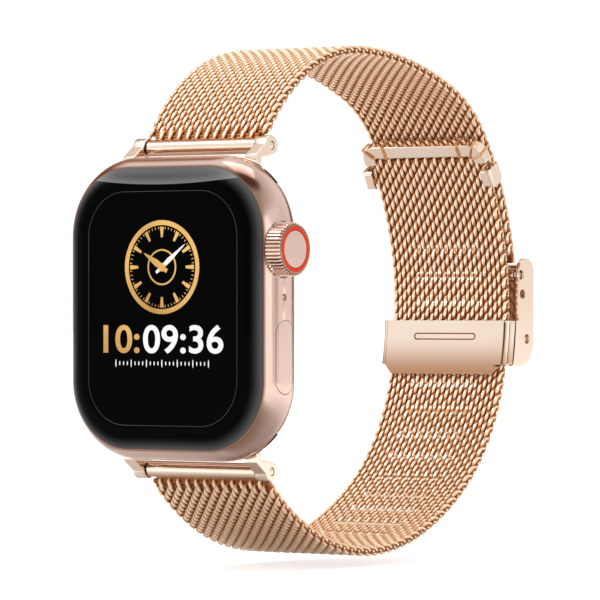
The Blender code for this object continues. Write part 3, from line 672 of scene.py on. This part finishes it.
def make_case(form):
    case = copy_of(form, "case")
    slice_off(case, GLASS_SEAM_Y, False)
    cut(case, slab("t", rounded(15.9, 19.0, 8.5), "y", FRONT_Y - 1, MID_Y - 2.4))
    cut(case, slab("t", rounded(15.5, 14.2, 4.0, 8), "y", MID_Y - 3.0, MID_Y + 3.0))
    cut(case, rod("t", "y", MID_Y + 2.0, MID_Y + 6, 0, 0, 10.8, 64))
    cut(case, rod("t", "y", MID_Y + 3.6, MID_Y + 6, 0, 0, 13.1, 96))
    slot = slab("t", slot_outline(), "x", -21, 21)
    cut(case, lower_twin(slot, "t2"))
    cut(case, slot)
    cut(case, rod("t", "x", 14.6, 21, CROWN_Y, CROWN_Z, 1.65))
    cut(case, rod("t", "x", 18.25, 21, CROWN_Y, CROWN_Z, 4.1, 96))
    cut(case, slab("t", pill(BUTTON_Y, BUTTON_Z, 1.82, 5.32), "x", 17.0, 21))
    cut(case, rod("t", "x", 14.6, 18, BUTTON_Y, BUTTON_Z, 0.9, 24))
    cut(case, rod("t", "x", 14.6, 21, MID_Y - 1.0, 1.6, 0.5, 32))
    for z in (4.4, -4.4):
        cut(case, slab("t", pill(MID_Y - 0.9, z, 0.6, 3.3), "x", -21, -14.6))
    release = [(x, z) for z, x in pill(15.9, 0, 1.05, 4.0)]
    upper = slab("t", release, "y", BACK_Y - 1.7, BACK_Y + 1)
    cut(case, lower_twin(upper, "t2"))
    cut(case, upper)
    soften(case, 0.05, 2, 50)
    done(case, CASE, "case", "rose", "case_shell")


def make_microphone_mesh():
    mesh_disc = rod("microphone_mesh", "x", 17.9, 18.45, MID_Y - 1.0, 1.6, 0.49, 32)
    soften(mesh_disc, 0.04, 1)
    done(mesh_disc, STEEL, "case", "steel")


def make_glass(form):
    glass = copy_of(form, "screen")
    slice_off(glass, GLASS_SEAM_Y - 0.14, True)
    done(glass, GLASS, "case", "black_glass", "display_glass", angle=50)
    seal = copy_of(form, "seal")
    slice_off(seal, GLASS_SEAM_Y - 0.13, False)
    slice_off(seal, GLASS_SEAM_Y - 0.01, True)
    take(seal)
    seal.scale = (0.9965, 1, 0.9965)
    settle(seal, "seal")
    cut(seal, slab("t", rounded(15.5, 18.6, 8.1), "y", FRONT_Y, MID_Y))
    done(seal, SEAL, "case", "black_rubber", "display_gasket")


def make_side_button(form):
    button = slab("side_key", pill(BUTTON_Y, BUTTON_Z, 1.75, 5.25), "x", 17.5, 20.5)
    join_with(button, copy_of(form, "t"), "INTERSECT")
    soften(button, 0.12, 3, 40)
    add(button, rod("t", "x", 15.0, 17.6, BUTTON_Y, BUTTON_Z, 0.6, 24))
    done(button, SATIN, "button", "rose", "side_button")


def make_crown():
    outline = []
    for tooth in range(CROWN_TEETH):
        for turn, radius in ((0.0, 3.86), (0.42, 3.86), (0.56, 3.5), (0.86, 3.5)):
            angle = 2 * math.pi * (tooth + turn) / CROWN_TEETH
            outline.append((CROWN_Y + radius * math.cos(angle), CROWN_Z + radius * math.sin(angle)))
    knob = slab("crown_wheel", outline, "x", 18.65, 21.15)
    blank = rod("t", "x", 18.6, 21.15, CROWN_Y, CROWN_Z, CROWN_R, 3 * CROWN_TEETH)
    bevel_edges(blank, lambda m, d: abs(d.x) < 0.5 and m.x > 21.1, 0.56, 3)
    join_with(knob, blank, "INTERSECT")
    cut(knob, rod("t", "x", 20.65, 22, CROWN_Y, CROWN_Z, 3.24, 96))
    cut(knob, rod("t", "x", 18.0, 19.55, CROWN_Y, CROWN_Z, 0.95, 32))
    soften(knob, 0.035, 1, 40)
    done(knob, KNURL, "crown", "rose", "crown_knob", angle=30)

    ring = rod("crown_red_ring", "x", 20.71, 21.19, CROWN_Y, CROWN_Z, 3.22, 96)
    cut(ring, rod("t", "x", 20, 22, CROWN_Y, CROWN_Z, 2.72, 96))
    soften(ring, 0.06, 2)
    done(ring, RED, "crown", "red_enamel", "crown_ring")
    cap = rod("crown_disc", "x", 20.71, 21.18, CROWN_Y, CROWN_Z, 2.67, 96)
    bevel_edges(cap, lambda m, d: abs(d.x) < 0.5 and m.x > 21.1, 0.12, 3)
    done(cap, SATIN, "crown", "rose", "crown_cap")


def make_back():
    crystal = rod("back_dome", "y", MID_Y + 4.36, 0.0, 0, 0, 12.9, 96)
    bevel_edges(crystal, lambda m, d: m.y > -0.01, 1.05, 10, 0.62)
    done(crystal, CRYSTAL, "case", "sapphire", "back_crystal", angle=60)
    sensor_ring = ring_plate("sensor_ring", (0, 0), 9.0, 8.7, -0.01, 0.012)
    done(sensor_ring, STEEL, "case", "sapphire")
    windows = [rod("sensor_windows", "y", -0.01, 0.012, 0, 0, 2.0, 48)]
    for turn in range(8):
        x, z = 5.6 * math.cos(math.radians(45 * turn)), 5.6 * math.sin(math.radians(45 * turn))
        windows.append(rod("window", "y", -0.01, 0.012, x, z, 1.5 if turn % 2 else 1.1, 40))
    done(gather(windows, "sensor_windows"), SENSOR, "case", "sapphire")
    outline = [(x, z) for z, x in pill(15.9, 0, 0.85, 3.8)]
    key = slab("release_key_upper", outline, "y", BACK_Y - 1.05, BACK_Y - 0.05)
    soften(key, 0.1, 2)
    finish_pair(key, "release_key_lower", SATIN, ("release_upper", "release_lower"), "rose", "release_button")


# ================================================================ screen picture
def flat_piece(obj, name, material):
    """A printed-thin piece of the screen picture."""
    obj.name = name
    done(obj, material, "case", "black_glass")
    return obj


def spoke(name, middle, degrees, corners, low, high):
    """Flat shape drawn as (along, across) on a ray from the dial's middle."""
    angle = math.radians(degrees)
    outline = []
    for along, across in corners:
        x = middle[0] + along * math.cos(angle) - across * math.sin(angle)
        z = middle[1] + along * math.sin(angle) + across * math.cos(angle)
        outline.append((x, z))
    return slab(name, outline, "y", low, high)


def gather(pieces, name):
    take(pieces[0])
    for piece in pieces[1:]:
        piece.select_set(True)
    bpy.ops.object.join()
    pieces[0].name = name
    return pieces[0]


def ring_plate(name, middle, outer, inner, low, high):
    plate = rod(name, "y", low, high, *middle, outer, 128)
    return cut(plate, rod("t", "y", low - 1, high + 1, *middle, inner, 128))


def make_picture():
    """Round dial above a row of figures and a fine scale."""
    face = FRONT_Y - 0.02
    low, high = face, face + PICTURE_T
    middle = DIAL_MIDDLE
    rings = [ring_plate("a", middle, 6.75, 6.05, low, high), ring_plate("b", middle, 2.6, 2.35, low, high)]
    flat_piece(gather(rings, "dial_rings"), "dial_rings", GOLD_LIGHT)
    marks = []
    for i in range(60):
        inner, half = (4.3, 0.33) if i % 5 == 0 else (5.45, 0.07)
        corners = ((inner, -half * 0.55), (5.8, -half), (5.8, half), (inner, half * 0.55))
        marks.append(spoke("mark", middle, 6 * i, corners, low, high))
    flat_piece(gather(marks, "dial_marks"), "dial_marks", GOLD_LIGHT)
    hour = ((-1.1, -0.3), (1.2, -0.5), (3.5, -0.12), (3.9, 0), (3.5, 0.12), (1.2, 0.5), (-1.1, 0.3))
    minute = ((-1.3, -0.2), (1.6, -0.36), (5.0, -0.08), (5.4, 0), (5.0, 0.08), (1.6, 0.36), (-1.3, 0.2))
    for name, degrees, outline, lift, material in (("hour_hand", 148, hour, 0.02, GOLD_LIGHT),
                                                   ("minute_hand", 38, minute, 0.04, WHITE_LIGHT)):
        hand = spoke(name, middle, degrees, outline, face - lift, face - lift + PICTURE_T)
        flat_piece(hand, name, material)
    flat_piece(rod("hand_hub", "y", face - 0.06, face - 0.045, *middle, 0.62, 40), "hand_hub", GOLD_LIGHT)
    for name, words, x, material in (("figures_gold", "10:", -11.9, GOLD_LIGHT),
                                     ("figures_white", "09:36", -3.5, WHITE_LIGHT)):
        rest_hands()
        corner = Vector((x, face + 0.008, -6.3)) * MM
        bpy.ops.object.text_add(location=corner, rotation=(math.pi / 2, 0, 0))
        figures = bpy.context.object
        figures.data.body = words
        figures.data.size = 5.55 * MM
        figures.data.offset = 0.10 * MM
        figures.data.space_character = 1.02
        figures.data.extrude = 0.008 * MM
        bpy.ops.object.convert(target="MESH")
        bpy.context.object.scale = (1.17, 1, 1)
        flat_piece(settle(bpy.context.object, name), name, material)
    ticks = []
    for i in range(25):
        x, half = -8.4 + 0.7 * i, 0.6 if i % 4 == 0 else 0.32
        ticks.append(slab("tick", [(px, pz) for pz, px in pill(-7.9, x, 0.6, 0.6, 4)], "y", low, high))
        for vert in ticks[-1].data.vertices:
            vert.co.x = (x + (vert.co.x / MM - x) * 0.17) * MM
            vert.co.z = (-7.9 + (vert.co.z / MM + 7.9) * half / 0.6) * MM
    flat_piece(gather(ticks, "fine_scale"), "fine_scale", WHITE_LIGHT)
    border = slab("picture_edge", rounded(13.5, 16.9, 6.6, 20), "y", low, high)
    cut(border, slab("t", rounded(13.43, 16.83, 6.53, 20), "y", low - 1, high + 1))
    flat_piece(border, "picture_edge", FAINT)


# ================================================================ band ends
def arm_outline():
    neck = 0.65
    points = [(SLOT_Y - neck, 20.7), (SLOT_Y + neck, 20.7), (SLOT_Y + neck, 21.75), (SLOT_Y + 2.3, 21.95)]
    points += arc(PIN_Y, PIN_Z, ARM_END_R, -50, 170, 24)
    points.append((SLOT_Y - neck, 22.1))
    return points


def make_adapters(form):
    tongue = [(SLOT_Y + 0.65, 22.35), (SLOT_Y - 0.65, 22.35), (SLOT_Y - 0.65, 20.2), (SLOT_Y - 0.95, 19.9)]
    tongue += arc(SLOT_Y - 0.25, 18.6, 0.7, 180, 270, 6) + arc(SLOT_Y + 0.25, 18.6, 0.7, 270, 360, 6)
    tongue += [(SLOT_Y + 0.95, 19.9), (SLOT_Y + 0.65, 20.2)]
    body = slab("band_adapter_upper", tongue, "x", -18.5, 18.5)
    room = copy_of(form, "t")
    room.scale = (1.004, 1, 1.006)
    join_with(body, settle(room, "t"), "INTERSECT")
    for low, high in ((-12.2, -10.1), (10.1, 12.2)):
        arm = slab("t", arm_outline(), "x", low, high)
        soften(arm, 0.16, 3, 30)
        add(body, arm)
    cut(body, rod("t", "x", -13, 13, PIN_Y, PIN_Z, 0.65, 32))
    soften(body, 0.05, 1, 50)
    adapters = ("upper_adapter", "lower_adapter")
    finish_pair(body, "band_adapter_lower", ADAPTER, adapters, "gold", "adapter")

    pin = rod("band_pin_upper", "x", -12.14, 12.14, PIN_Y, PIN_Z, 0.6, 32)
    soften(pin, 0.14, 3)
    finish_pair(pin, "band_pin_lower", STEEL, adapters, "steel", "strap_pin")

    tube = rod("band_tube_upper", "x", -9.85, 9.85, PIN_Y, PIN_Z, 1.2, 64)
    cut(tube, rod("t", "x", -11, 11, PIN_Y, PIN_Z, 0.72, 32))
    soften(tube, 0.12, 3)
    finish_pair(tube, "band_tube_lower", TUBE, ("upper_strap_near", "lower_strap"), "gold", "strap_tube")


# ================================================================ weave
def band_path(radius, low, high, arcs, step=0.1):
    """Stations (y, z, heading) every tenth of a millimetre from the clasp end to the pin."""
    y, z = polar(radius, low)
    stations = [(y, z, low + 90.0)]
    for bend, turn in ((radius, high - low), *arcs):
        y, z, heading = stations[-1]
        mid_y = y - bend * math.sin(math.radians(heading))
        mid_z = z + bend * math.cos(math.radians(heading))
        count = max(2, round(math.radians(turn) * bend / step))
        for i in range(1, count + 1):
            now = heading + turn * i / count
            angle = math.radians(now)
            stations.append((mid_y + bend * math.sin(angle), mid_z - bend * math.cos(angle), now))
    path = np.array(stations)
    gaps = np.hypot(*np.diff(path[:, :2], axis=0).T)
    return np.concatenate([[0.0], np.cumsum(gaps)]), path


def coil(half_width, odd):
    """One flattened coil of wire across the band: points (x, along, through) and its faces."""
    turns = round((2 * half_width - 2 * WIRE_R) / TURN_PITCH * 2) / 2
    pitch = (2 * half_width - 2 * WIRE_R) / turns
    count = int(turns * STEPS) + 1
    t = np.arange(count) * 2 * math.pi / STEPS
    phase = t + (math.pi if odd else 0.0)
    x = -half_width + WIRE_R + pitch * (t + 0.36 * np.sin(2 * t)) / (2 * math.pi)
    along = TURN_REACH * np.cos(phase)
    thick = 0.19 + 0.13 * np.abs(np.sin(phase)) ** 1.5
    through = (BAND_HALF_T + 0.01 - 0.32) * np.sin(phase)
    line = np.stack([x, along, through], axis=1)
    ahead = np.gradient(line, axis=0)
    ahead /= np.linalg.norm(ahead, axis=1)[:, None]
    side = np.cross(ahead, np.array([0.0, 0.0, 1.0]))
    side += np.array([1e-6, 0, 0])
    side /= np.linalg.norm(side, axis=1)[:, None]
    up = np.cross(side, ahead)
    ring = np.arange(SIDES) * 2 * math.pi / SIDES
    around = np.cos(ring)[None, :, None] * side[:, None, :] + np.sin(ring)[None, :, None] * up[:, None, :]
    points = line[:, None, :] + thick[:, None, None] * around
    points = points.reshape(-1, 3)
    faces = []
    for k in range(count - 1):
        for i in range(SIDES):
            j = (i + 1) % SIDES
            faces.append((k * SIDES + i, k * SIDES + j, (k + 1) * SIDES + j, (k + 1) * SIDES + i))
    return points, np.array(faces)


def lay_along(points, lengths, path, side):
    """Points (x, along, through) laid on the band path; side -1 turns them half round about Y."""
    along, through = points[:, 1], points[:, 2]
    heading = np.radians(np.interp(along, lengths, path[:, 2]))
    beyond = np.maximum(0, along - lengths[-1]) + np.minimum(0, along)
    y = np.interp(along, lengths, path[:, 0]) + beyond * np.cos(heading) + through * np.sin(heading)
    z = np.interp(along, lengths, path[:, 1]) + beyond * np.sin(heading) - through * np.cos(heading)
    return np.stack([side * points[:, 0], y, side * z], axis=1) * MM


def core_strip(first, last, end_of_band):
    """Rippled wires that run across inside the coils: points (x, along, through) and faces."""
    stations = np.linspace(first, last, int((last - first) / ROW_PITCH * 4) + 2)
    points, faces = [], []
    for k, along in enumerate(stations):
        swell = 0.26 + 0.10 * math.cos(2 * math.pi * along / ROW_PITCH)
        half = BAND_HALF_W - 0.45 if end_of_band - along > 2.1 else TUBE_HALF_LENGTH - 0.3
        points += [(-half, along, -swell), (half, along, -swell), (half, along, swell), (-half, along, swell)]
        if k:
            a = 4 * k
            faces += [(a - 4 + i, a - 4 + (i + 1) % 4, a + (i + 1) % 4, a + i) for i in range(4)]
    end = len(points) - 4
    faces += [(3, 2, 1, 0), (end, end + 1, end + 2, end + 3)]
    return np.array(points), faces


def wire_mesh(name, points, faces, heights):
    obj = new_piece(name, points.tolist(), faces)
    attribute = obj.data.attributes.new("height", "FLOAT", "POINT")
    attribute.data.foreach_set("value", heights.astype(np.float32))
    obj.data.update()
    return obj


def weave(name, lengths, path, first, last, side, grooves=()):
    """Interlinked coils laid along a stretch of the band path, with ripple wires inside them."""
    all_points, all_faces, heights, total = [], [], [], 0
    for row in range(math.ceil(first / ROW_PITCH), math.floor(last / ROW_PITCH) + 1):
        place = row * ROW_PITCH
        half_width = BAND_HALF_W if lengths[-1] - place > 2.75 else TUBE_HALF_LENGTH
        points, faces = coil(half_width, row % 2)
        points[:, 1] += place
        # Painted highlight: the value that picks the wire's colour is raised at the band's edges so the edge
        # loops show bright.
        edge = np.clip((np.abs(points[:, 0]) - half_width + 0.75) / 0.5, 0, 0.9)
        height = np.maximum(np.abs(points[:, 2]) / BAND_HALF_T, edge)
        # Painted light at the grooves: the pressed wires beside each groove get a painted highlight, its
        # middle line a painted shade.
        for groove in grooves:
            near = (np.abs(points[:, 1] - groove) < 0.55) & (np.abs(points[:, 0]) < 6.1)
            near &= points[:, 2] < -0.15
            middle = np.abs(points[:, 1] - groove) < 0.14
            points[near, 2] = np.maximum(points[near, 2], -0.60)
            height[near & ~middle] = 1.0
            height[near & middle] = 0.5
        all_points.append(lay_along(points, lengths, path, side))
        all_faces += (faces + total).tolist()
        heights.append(height)
        total += len(points)
    obj = wire_mesh(name, np.concatenate(all_points), all_faces, np.concatenate(heights))
    take(obj)
    bpy.ops.object.mode_set(mode="EDIT")
    bpy.ops.mesh.select_mode(type="VERT")
    bpy.ops.mesh.select_all(action="DESELECT")
    bpy.ops.mesh.select_non_manifold(extend=False)
    bpy.ops.mesh.fill_holes(sides=SIDES)
    rest_hands()
    # The inner wires all take the ramp's darkest tone: real wires, and painted shade that fills the gaps
    # between the coils.
    points, faces = core_strip(first - 0.2, last + 0.6, lengths[-1])
    core = wire_mesh("core", lay_along(points, lengths, path, side), faces, np.zeros(len(points)))
    return gather([obj, core], name)


def make_band():
    bar_angle = math.degrees(math.atan2(BAR_YZ[1], BAR_YZ[0] - CENTRE_Y))
    start = bar_angle + math.degrees(1.15 / OUTER_R)
    lengths, path = band_path(OUTER_R, start, 36.0, UPPER_ARCS)
    upper = weave("weave_upper", lengths, path, 0.95, lengths[-1] - 1.85, 1)
    smooth(upper, 70)
    wear(upper, WIRE)
    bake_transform(upper)
    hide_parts("strap_upper_near", "strap_upper_far")

    lengths, path = band_path(TAIL_R, -TAIL_TOP, 16.0, LOWER_ARCS)
    grooves = [GROOVE_FIRST + GROOVE_PITCH * i for i in range(GROOVE_ROWS)]
    middle = 52.5 * ROW_PITCH
    for name, first, last in (("weave_tail", ROW_PITCH * 0.9, middle),
                              ("weave_lower", middle, lengths[-1] - 1.85)):
        strap = weave(name, lengths, path, first, last, -1, grooves)
        done(strap, WIRE, "lower_strap", "weave", "strap_lower", angle=70)


# ================================================================ clasp and keeper
def bend_about_centre(obj):
    """Lay a flat piece drawn as (x, radius, arc length) round the centre of the clasp arcs."""
    for vert in obj.data.vertices:
        x, radius, length = vert.co / MM
        y, z = polar(radius, math.degrees(length / TAIL_R))
        vert.co = Vector((x, y, z)) * MM
    return obj


def swept(name, section, low, high, count):
    """An (x, radius) section swept about the centre of the clasp arcs, from one angle to another."""
    rest_hands()
    points, faces = [], []
    for k in range(count + 1):
        angle = low + (high - low) * k / count
        points += [(x * MM, *(v * MM for v in polar(radius, angle))) for x, radius in section]
        if k:
            a, n = k * len(section), len(section)
            faces += [(a - n + i, a - n + (i + 1) % n, a + (i + 1) % n, a + i) for i in range(n)]
    n = len(section)
    faces += [tuple(range(n)), tuple(range(len(points) - 1, len(points) - n - 1, -1))]
    return face_outward(new_piece(name, points, faces))


def folded_section():
    """Section of the inner plate with its two folds, thin score lines beside each fold."""
    outside = [(9.0, PLATE_R), (10.93, PLATE_R)]
    outside += [(10.95, PLATE_R + 0.13), (11.01, PLATE_R + 0.13), (11.03, PLATE_R)]
    outside += [(x, r) for x, r in arc(11.0, PLATE_R + 0.9, 0.9, -88, 0, 10)]
    outside += [(11.9, 43.3)]
    inside = [(11.3, 43.3)] + arc(11.0, PLATE_R + 0.9, 0.3, 0, -90, 5) + [(9.0, PLATE_R + PLATE_T)]
    left = [(-x, r) for x, r in reversed(outside)]
    return left + outside + inside + [(-x, r) for x, r in reversed(inside)]


def make_clasp():
    plate = swept("clasp_plate", folded_section(), -14.4, -2.6, 16)
    for sign in (-1, 1):
        corner = [(sign * 14.0, -8.75), (sign * 11.0, -8.75), (sign * 8.6, -11.2), (sign * 14.0, -11.2)]
        cut(plate, slab("t", corner, "y", 59.0, 66.0))
    groove = slab("t", [(x, z) for z, x in pill(-4.35, 0, 0.55, 5.8)], "y", 58.0, 62.06)
    cut(groove, slab("t2", [(x, z) for z, x in pill(-4.35, 0, 0.35, 5.60)], "y", 57.0, 63.0))
    cut(plate, groove)
    soften(plate, 0.06, 2, 45)
    done(plate, PLATE, "clasp", "gold", "clasp_frame")
    outline = [polar(43.05, -12.0), polar(43.05, -2.6), (64.45, -1.9), (64.8, -1.5)]
    outline += arc(66.85, 5.75, 2.05, 180, 0, 24) + arc(65.0, -5.05, 3.9, 0, -90, 20)
    for name, low in (("cheek_left", -CHEEK_OUTER_X), ("cheek_right", CHEEK_INNER_X)):
        cheek = slab(name, outline, "x", low, low + CHEEK_OUTER_X - CHEEK_INNER_X)
        for place in (BAR_YZ, SPARE_YZ, LEVER_PIN_YZ):
            cut(cheek, rod("t", "x", -13, 13, *place, 0.75, 40))
        soften(cheek, 0.11, 3, 40)
        done(cheek, POLISHED, "clasp", "gold", "clasp_frame")

    outline = [(68.4, -6.9), (68.7, -6.5), (68.75, 0.0), (68.7, 6.3), (68.45, 6.9), (67.95, 6.9)]
    outline += [(67.9, -2.9), (66.9, -3.2), (65.6, -3.7), (64.6, -4.3), (64.55, -5.0), (65.5, -5.8)]
    outline += [(66.9, -6.35), (67.8, -6.9)]
    lever = slab("clasp_cover", outline, "x", -10.95, 10.95)
    soften(lever, 0.22, 3, 25)
    cut(lever, rod("t", "x", -12, 12, *LEVER_PIN_YZ, 0.68, 32))
    done(lever, POLISHED, "lever", "gold", "clasp_lever")
    for name, place, node_name in (("size_bar", BAR_YZ, "clasp_spring_bar"),
                                   ("cover_pin", LEVER_PIN_YZ, "clasp_lever_pin")):
        pin = rod(name, "x", -11.5, 11.5, *place, 0.6, 32)
        soften(pin, 0.12, 2)
        done(pin, STEEL, "clasp", "steel", node_name)
    eye_y, eye_z = polar(OUTER_R, math.degrees(math.atan2(BAR_YZ[1], BAR_YZ[0] - CENTRE_Y)))
    eye = rod("band_eye", "x", -10.85, 10.85, eye_y, eye_z, 1.0, 40)
    cut(eye, rod("t", "x", -12, 12, eye_y, eye_z, 0.75, 32))
    done(eye, POLISHED, "upper_strap_far", "gold", "strap_end_tube")


def make_tail_end():
    """Arched metal end of the tail."""
    top = math.radians(TAIL_BAR_TOP) * TAIL_R
    outline = arc(8.75, top - 2.6, 2.6, 0, 90, 12) + arc(-8.75, top - 2.6, 2.6, 90, 180, 12)
    outline = [(11.35, top - 3.46)] + outline + [(-11.35, top - 3.46), (-9.25, top - 3.46)]
    outline += arc(-8.75, top - 2.6, 0.5, 180, 90, 6) + arc(8.75, top - 2.6, 0.5, 90, 0, 6)
    outline += [(9.25, top - 3.46)]
    arch = slab("tail_arch", outline, "y", TAIL_R - 0.95, TAIL_R + 0.95)
    soften(arch, 0.16, 3, 40)
    bend_about_centre(arch)
    done(arch, POLISHED, "lower_strap", "gold", "tail_end_bar")
    loops = []
    upright = ((-6.87, 1.05, 0), (7.0, 1.05, 0))
    leaning = ((9.3, 1.3, -25), (-9.9, 1.25, 45), (10.4, 2.0, -62))
    for x, down, lean in upright + leaning:
        loops.append(tie_loop(x, top - down, lean))
    done(gather(loops, "tail_ties"), WIRE, "lower_strap", "weave")


def tie_loop(x, length, lean):
    """Flattened wire loop round the end bar, leaning in the bar's plane."""
    rest_hands()
    bpy.ops.mesh.primitive_torus_add(major_segments=24, minor_segments=8, major_radius=1.0, minor_radius=0.2)
    loop = bpy.context.object
    attribute = loop.data.attributes.new("height", "FLOAT", "POINT")
    turn = math.radians(lean)
    for i, vert in enumerate(loop.data.vertices):
        flat = math.hypot(vert.co.x, vert.co.y)
        thick = flat - 1
        side_x, side_y = vert.co.x / flat, vert.co.y / flat
        depth = math.copysign(abs(side_x) ** 0.4, side_x) * (1.05 + thick) - 0.09
        reach = math.copysign(abs(side_y) ** 0.4, side_y) * (1.20 + thick)
        across = vert.co.z
        attribute.data[i].value = 0.66
        vert.co = Vector((x + across * math.cos(turn) - reach * math.sin(turn), TAIL_R + depth,
                          length + across * math.sin(turn) + reach * math.cos(turn))) * MM
    return bend_about_centre(loop)


def make_keeper():
    """Clip round the tail with two lips folded over the inner face."""
    inner, outer, back = TAIL_R - BAND_HALF_T - 0.3, TAIL_R + BAND_HALF_T + 0.08, 0.32
    loop = block("keeper", (-12, inner - 0.6, -1), (12, outer + back, 1))
    mid = math.radians(KEEPER_MIDDLE) * TAIL_R
    half = math.radians(KEEPER_HALF) * TAIL_R
    for vert in loop.data.vertices:
        vert.co.z = (mid + math.copysign(half, vert.co.z)) * MM
    bevel_edges(loop, lambda m, d: abs(d.z) > 0.9 and m.y < inner, 0.5, 5)
    bevel_edges(loop, lambda m, d: abs(d.x) > 0.9 and m.z < mid and m.y < inner, 0.5, 4)
    bevel_edges(loop, lambda m, d: abs(d.x) > 0.9 and m.z < mid and m.y > outer, 1.1, 6)
    cut(loop, block("t", (-11.4, inner, 0), (11.4, outer, 60)))
    cut(loop, block("t", (-10.3, inner - 2, 0), (10.3, inner + 1, 60)))
    soften(loop, 0.08, 2, 50)
    bend_about_centre(loop)
    done(loop, POLISHED, "keeper", "gold", "keeper_loop")


# ================================================================ carried-over CAD nodes
def finish_frame_nodes():
    looks = {
        "steel": STEEL, "brass": BRASS, "copper": COPPER, "foil": FOIL, "board": BOARD,
        "black_plastic": BLACK_PLASTIC, "black_rubber": BLACK_RUBBER, "ceramic": CERAMIC,
    }
    slots = {part["node"]: part["material_slot"] for part in frame["record"]["subparts"]}
    for name, obj in frame["nodes"].items():
        look = looks.get(slots.get(name))
        if look is None or obj.hide_render:
            continue
        for place in obj.material_slots:
            place.material = look


# ================================================================ studio
def soft_light(name, place, aim, size, watts):
    light = bpy.data.lights.new(name, "AREA")
    light.shape = "RECTANGLE"
    light.size, light.size_y = size
    light.energy = watts
    obj = bpy.data.objects.new(name, light)
    obj.location = place
    obj.rotation_euler = (Vector(aim) - Vector(place)).to_track_quat("-Z", "Y").to_euler()
    bpy.context.scene.collection.objects.link(obj)


def glow(tree, direction, towards, inner, outer):
    """1 within inner degrees of a direction, 0 past outer degrees."""
    product = node(tree, "ShaderNodeVectorMath", operation="DOT_PRODUCT")
    product.inputs[1].default_value = Vector(towards).normalized()
    tree.links.new(direction, product.inputs[0])
    return eased(tree, product.outputs["Value"], math.cos(math.radians(outer)), math.cos(math.radians(inner)))


def around(degrees, height=0.0):
    """Direction that many degrees round from the way the camera looks from, towards the crown side."""
    angle = math.radians(-54 + degrees)
    return math.cos(angle), math.sin(angle), height


def make_surroundings():
    """White tent with warm shaded patches that give the polished metal its darker bands."""
    world = bpy.data.worlds.new("studio")
    world.use_nodes = True
    tree = world.node_tree
    direction = node(tree, "ShaderNodeTexCoord").outputs["Generated"]
    warm, shade = (0.42, 0.19, 0.085), (0.70, 0.60, 0.54)
    patches = (
        (around(53), 9, 16, (0.34, 0.22, 0.16)),
        (around(95, 0.1), 18, 34, (0.90, 0.88, 0.86)),
        (around(26, 0.1), 10, 20, (1.5, 1.5, 1.5)),
        (around(150), 10, 24, (0.24, 0.13, 0.085)),
        (around(-25, -0.35), 15, 45, shade),
        (around(-150, 0.3), 10, 35, warm),
        ((-0.588, 0.452, 0.67), 2, 9, warm),
        ((0.20, -0.18, 0.96), 11, 24, (0.17, 0.085, 0.05)),
        (around(180), 9, 16, (1.05, 1.05, 1.05)),
    )
    colour = (1.0, 1.0, 1.0)
    for towards, inner, outer, tone in patches:
        colour = mixed(tree, glow(tree, direction, towards, inner, outer), colour, tone)
    tree.links.new(colour, tree.nodes["Background"].inputs["Color"])
    bpy.context.scene.world = world


def pale_floor():
    """White table that looks brightest along it and greyer from above."""
    material, tree, shader = new_material("pale_floor")
    shader.inputs["Base Color"].default_value = (0.62, 0.62, 0.62, 1)
    shader.inputs["Roughness"].default_value = 0.9
    shader.inputs["Specular IOR Level"].default_value = 0.0
    shader.inputs["Emission Color"].default_value = (1, 1, 1, 1)
    facing = node(tree, "ShaderNodeLayerWeight", Blend=0.5)
    glare = eased(tree, facing.outputs["Facing"], 0.3, 0.9, 0.0, 0.7)
    feed(tree, shader.inputs["Emission Strength"], glare)
    return material


def make_studio():
    rest_hands()
    bpy.ops.mesh.primitive_plane_add(size=10, location=(0, 0.03, FLOOR_Z))
    floor = settle(bpy.context.object, "floor")
    wear(floor, pale_floor())
    make_surroundings()
    soft_light("key", (-0.05, 0.10, 0.8), (0.01, 0.02, 0), (0.45, 0.45), 1.1)
    soft_light("window", (-0.224, -0.309, 0.489), (0.01, 0.03, 0), (0.42, 0.26), 1.6)

    camera = bpy.data.cameras.new("camera")
    camera.sensor_width = 36
    camera.lens = 265.6
    camera.shift_y = 0.0142
    camera.clip_start = 0.01
    holder = bpy.data.objects.new("camera", camera)
    holder.location = (0.3899, -0.5136, 0)
    aim = Vector((0.0137, 0.0042, 0))
    holder.rotation_euler = (aim - holder.location).to_track_quat("-Z", "Y").to_euler()
    bpy.context.scene.collection.objects.link(holder)
    bpy.context.scene.camera = holder
    bpy.context.scene.view_settings.view_transform = "Standard"


FORM = pebble()
make_case(FORM)
make_microphone_mesh()
make_glass(FORM)
make_side_button(FORM)
make_adapters(FORM)
bpy.data.objects.remove(FORM, do_unlink=True)
make_crown()
make_back()
make_picture()
make_band()
make_clasp()
make_tail_end()
make_keeper()
finish_frame_nodes()
make_studio()
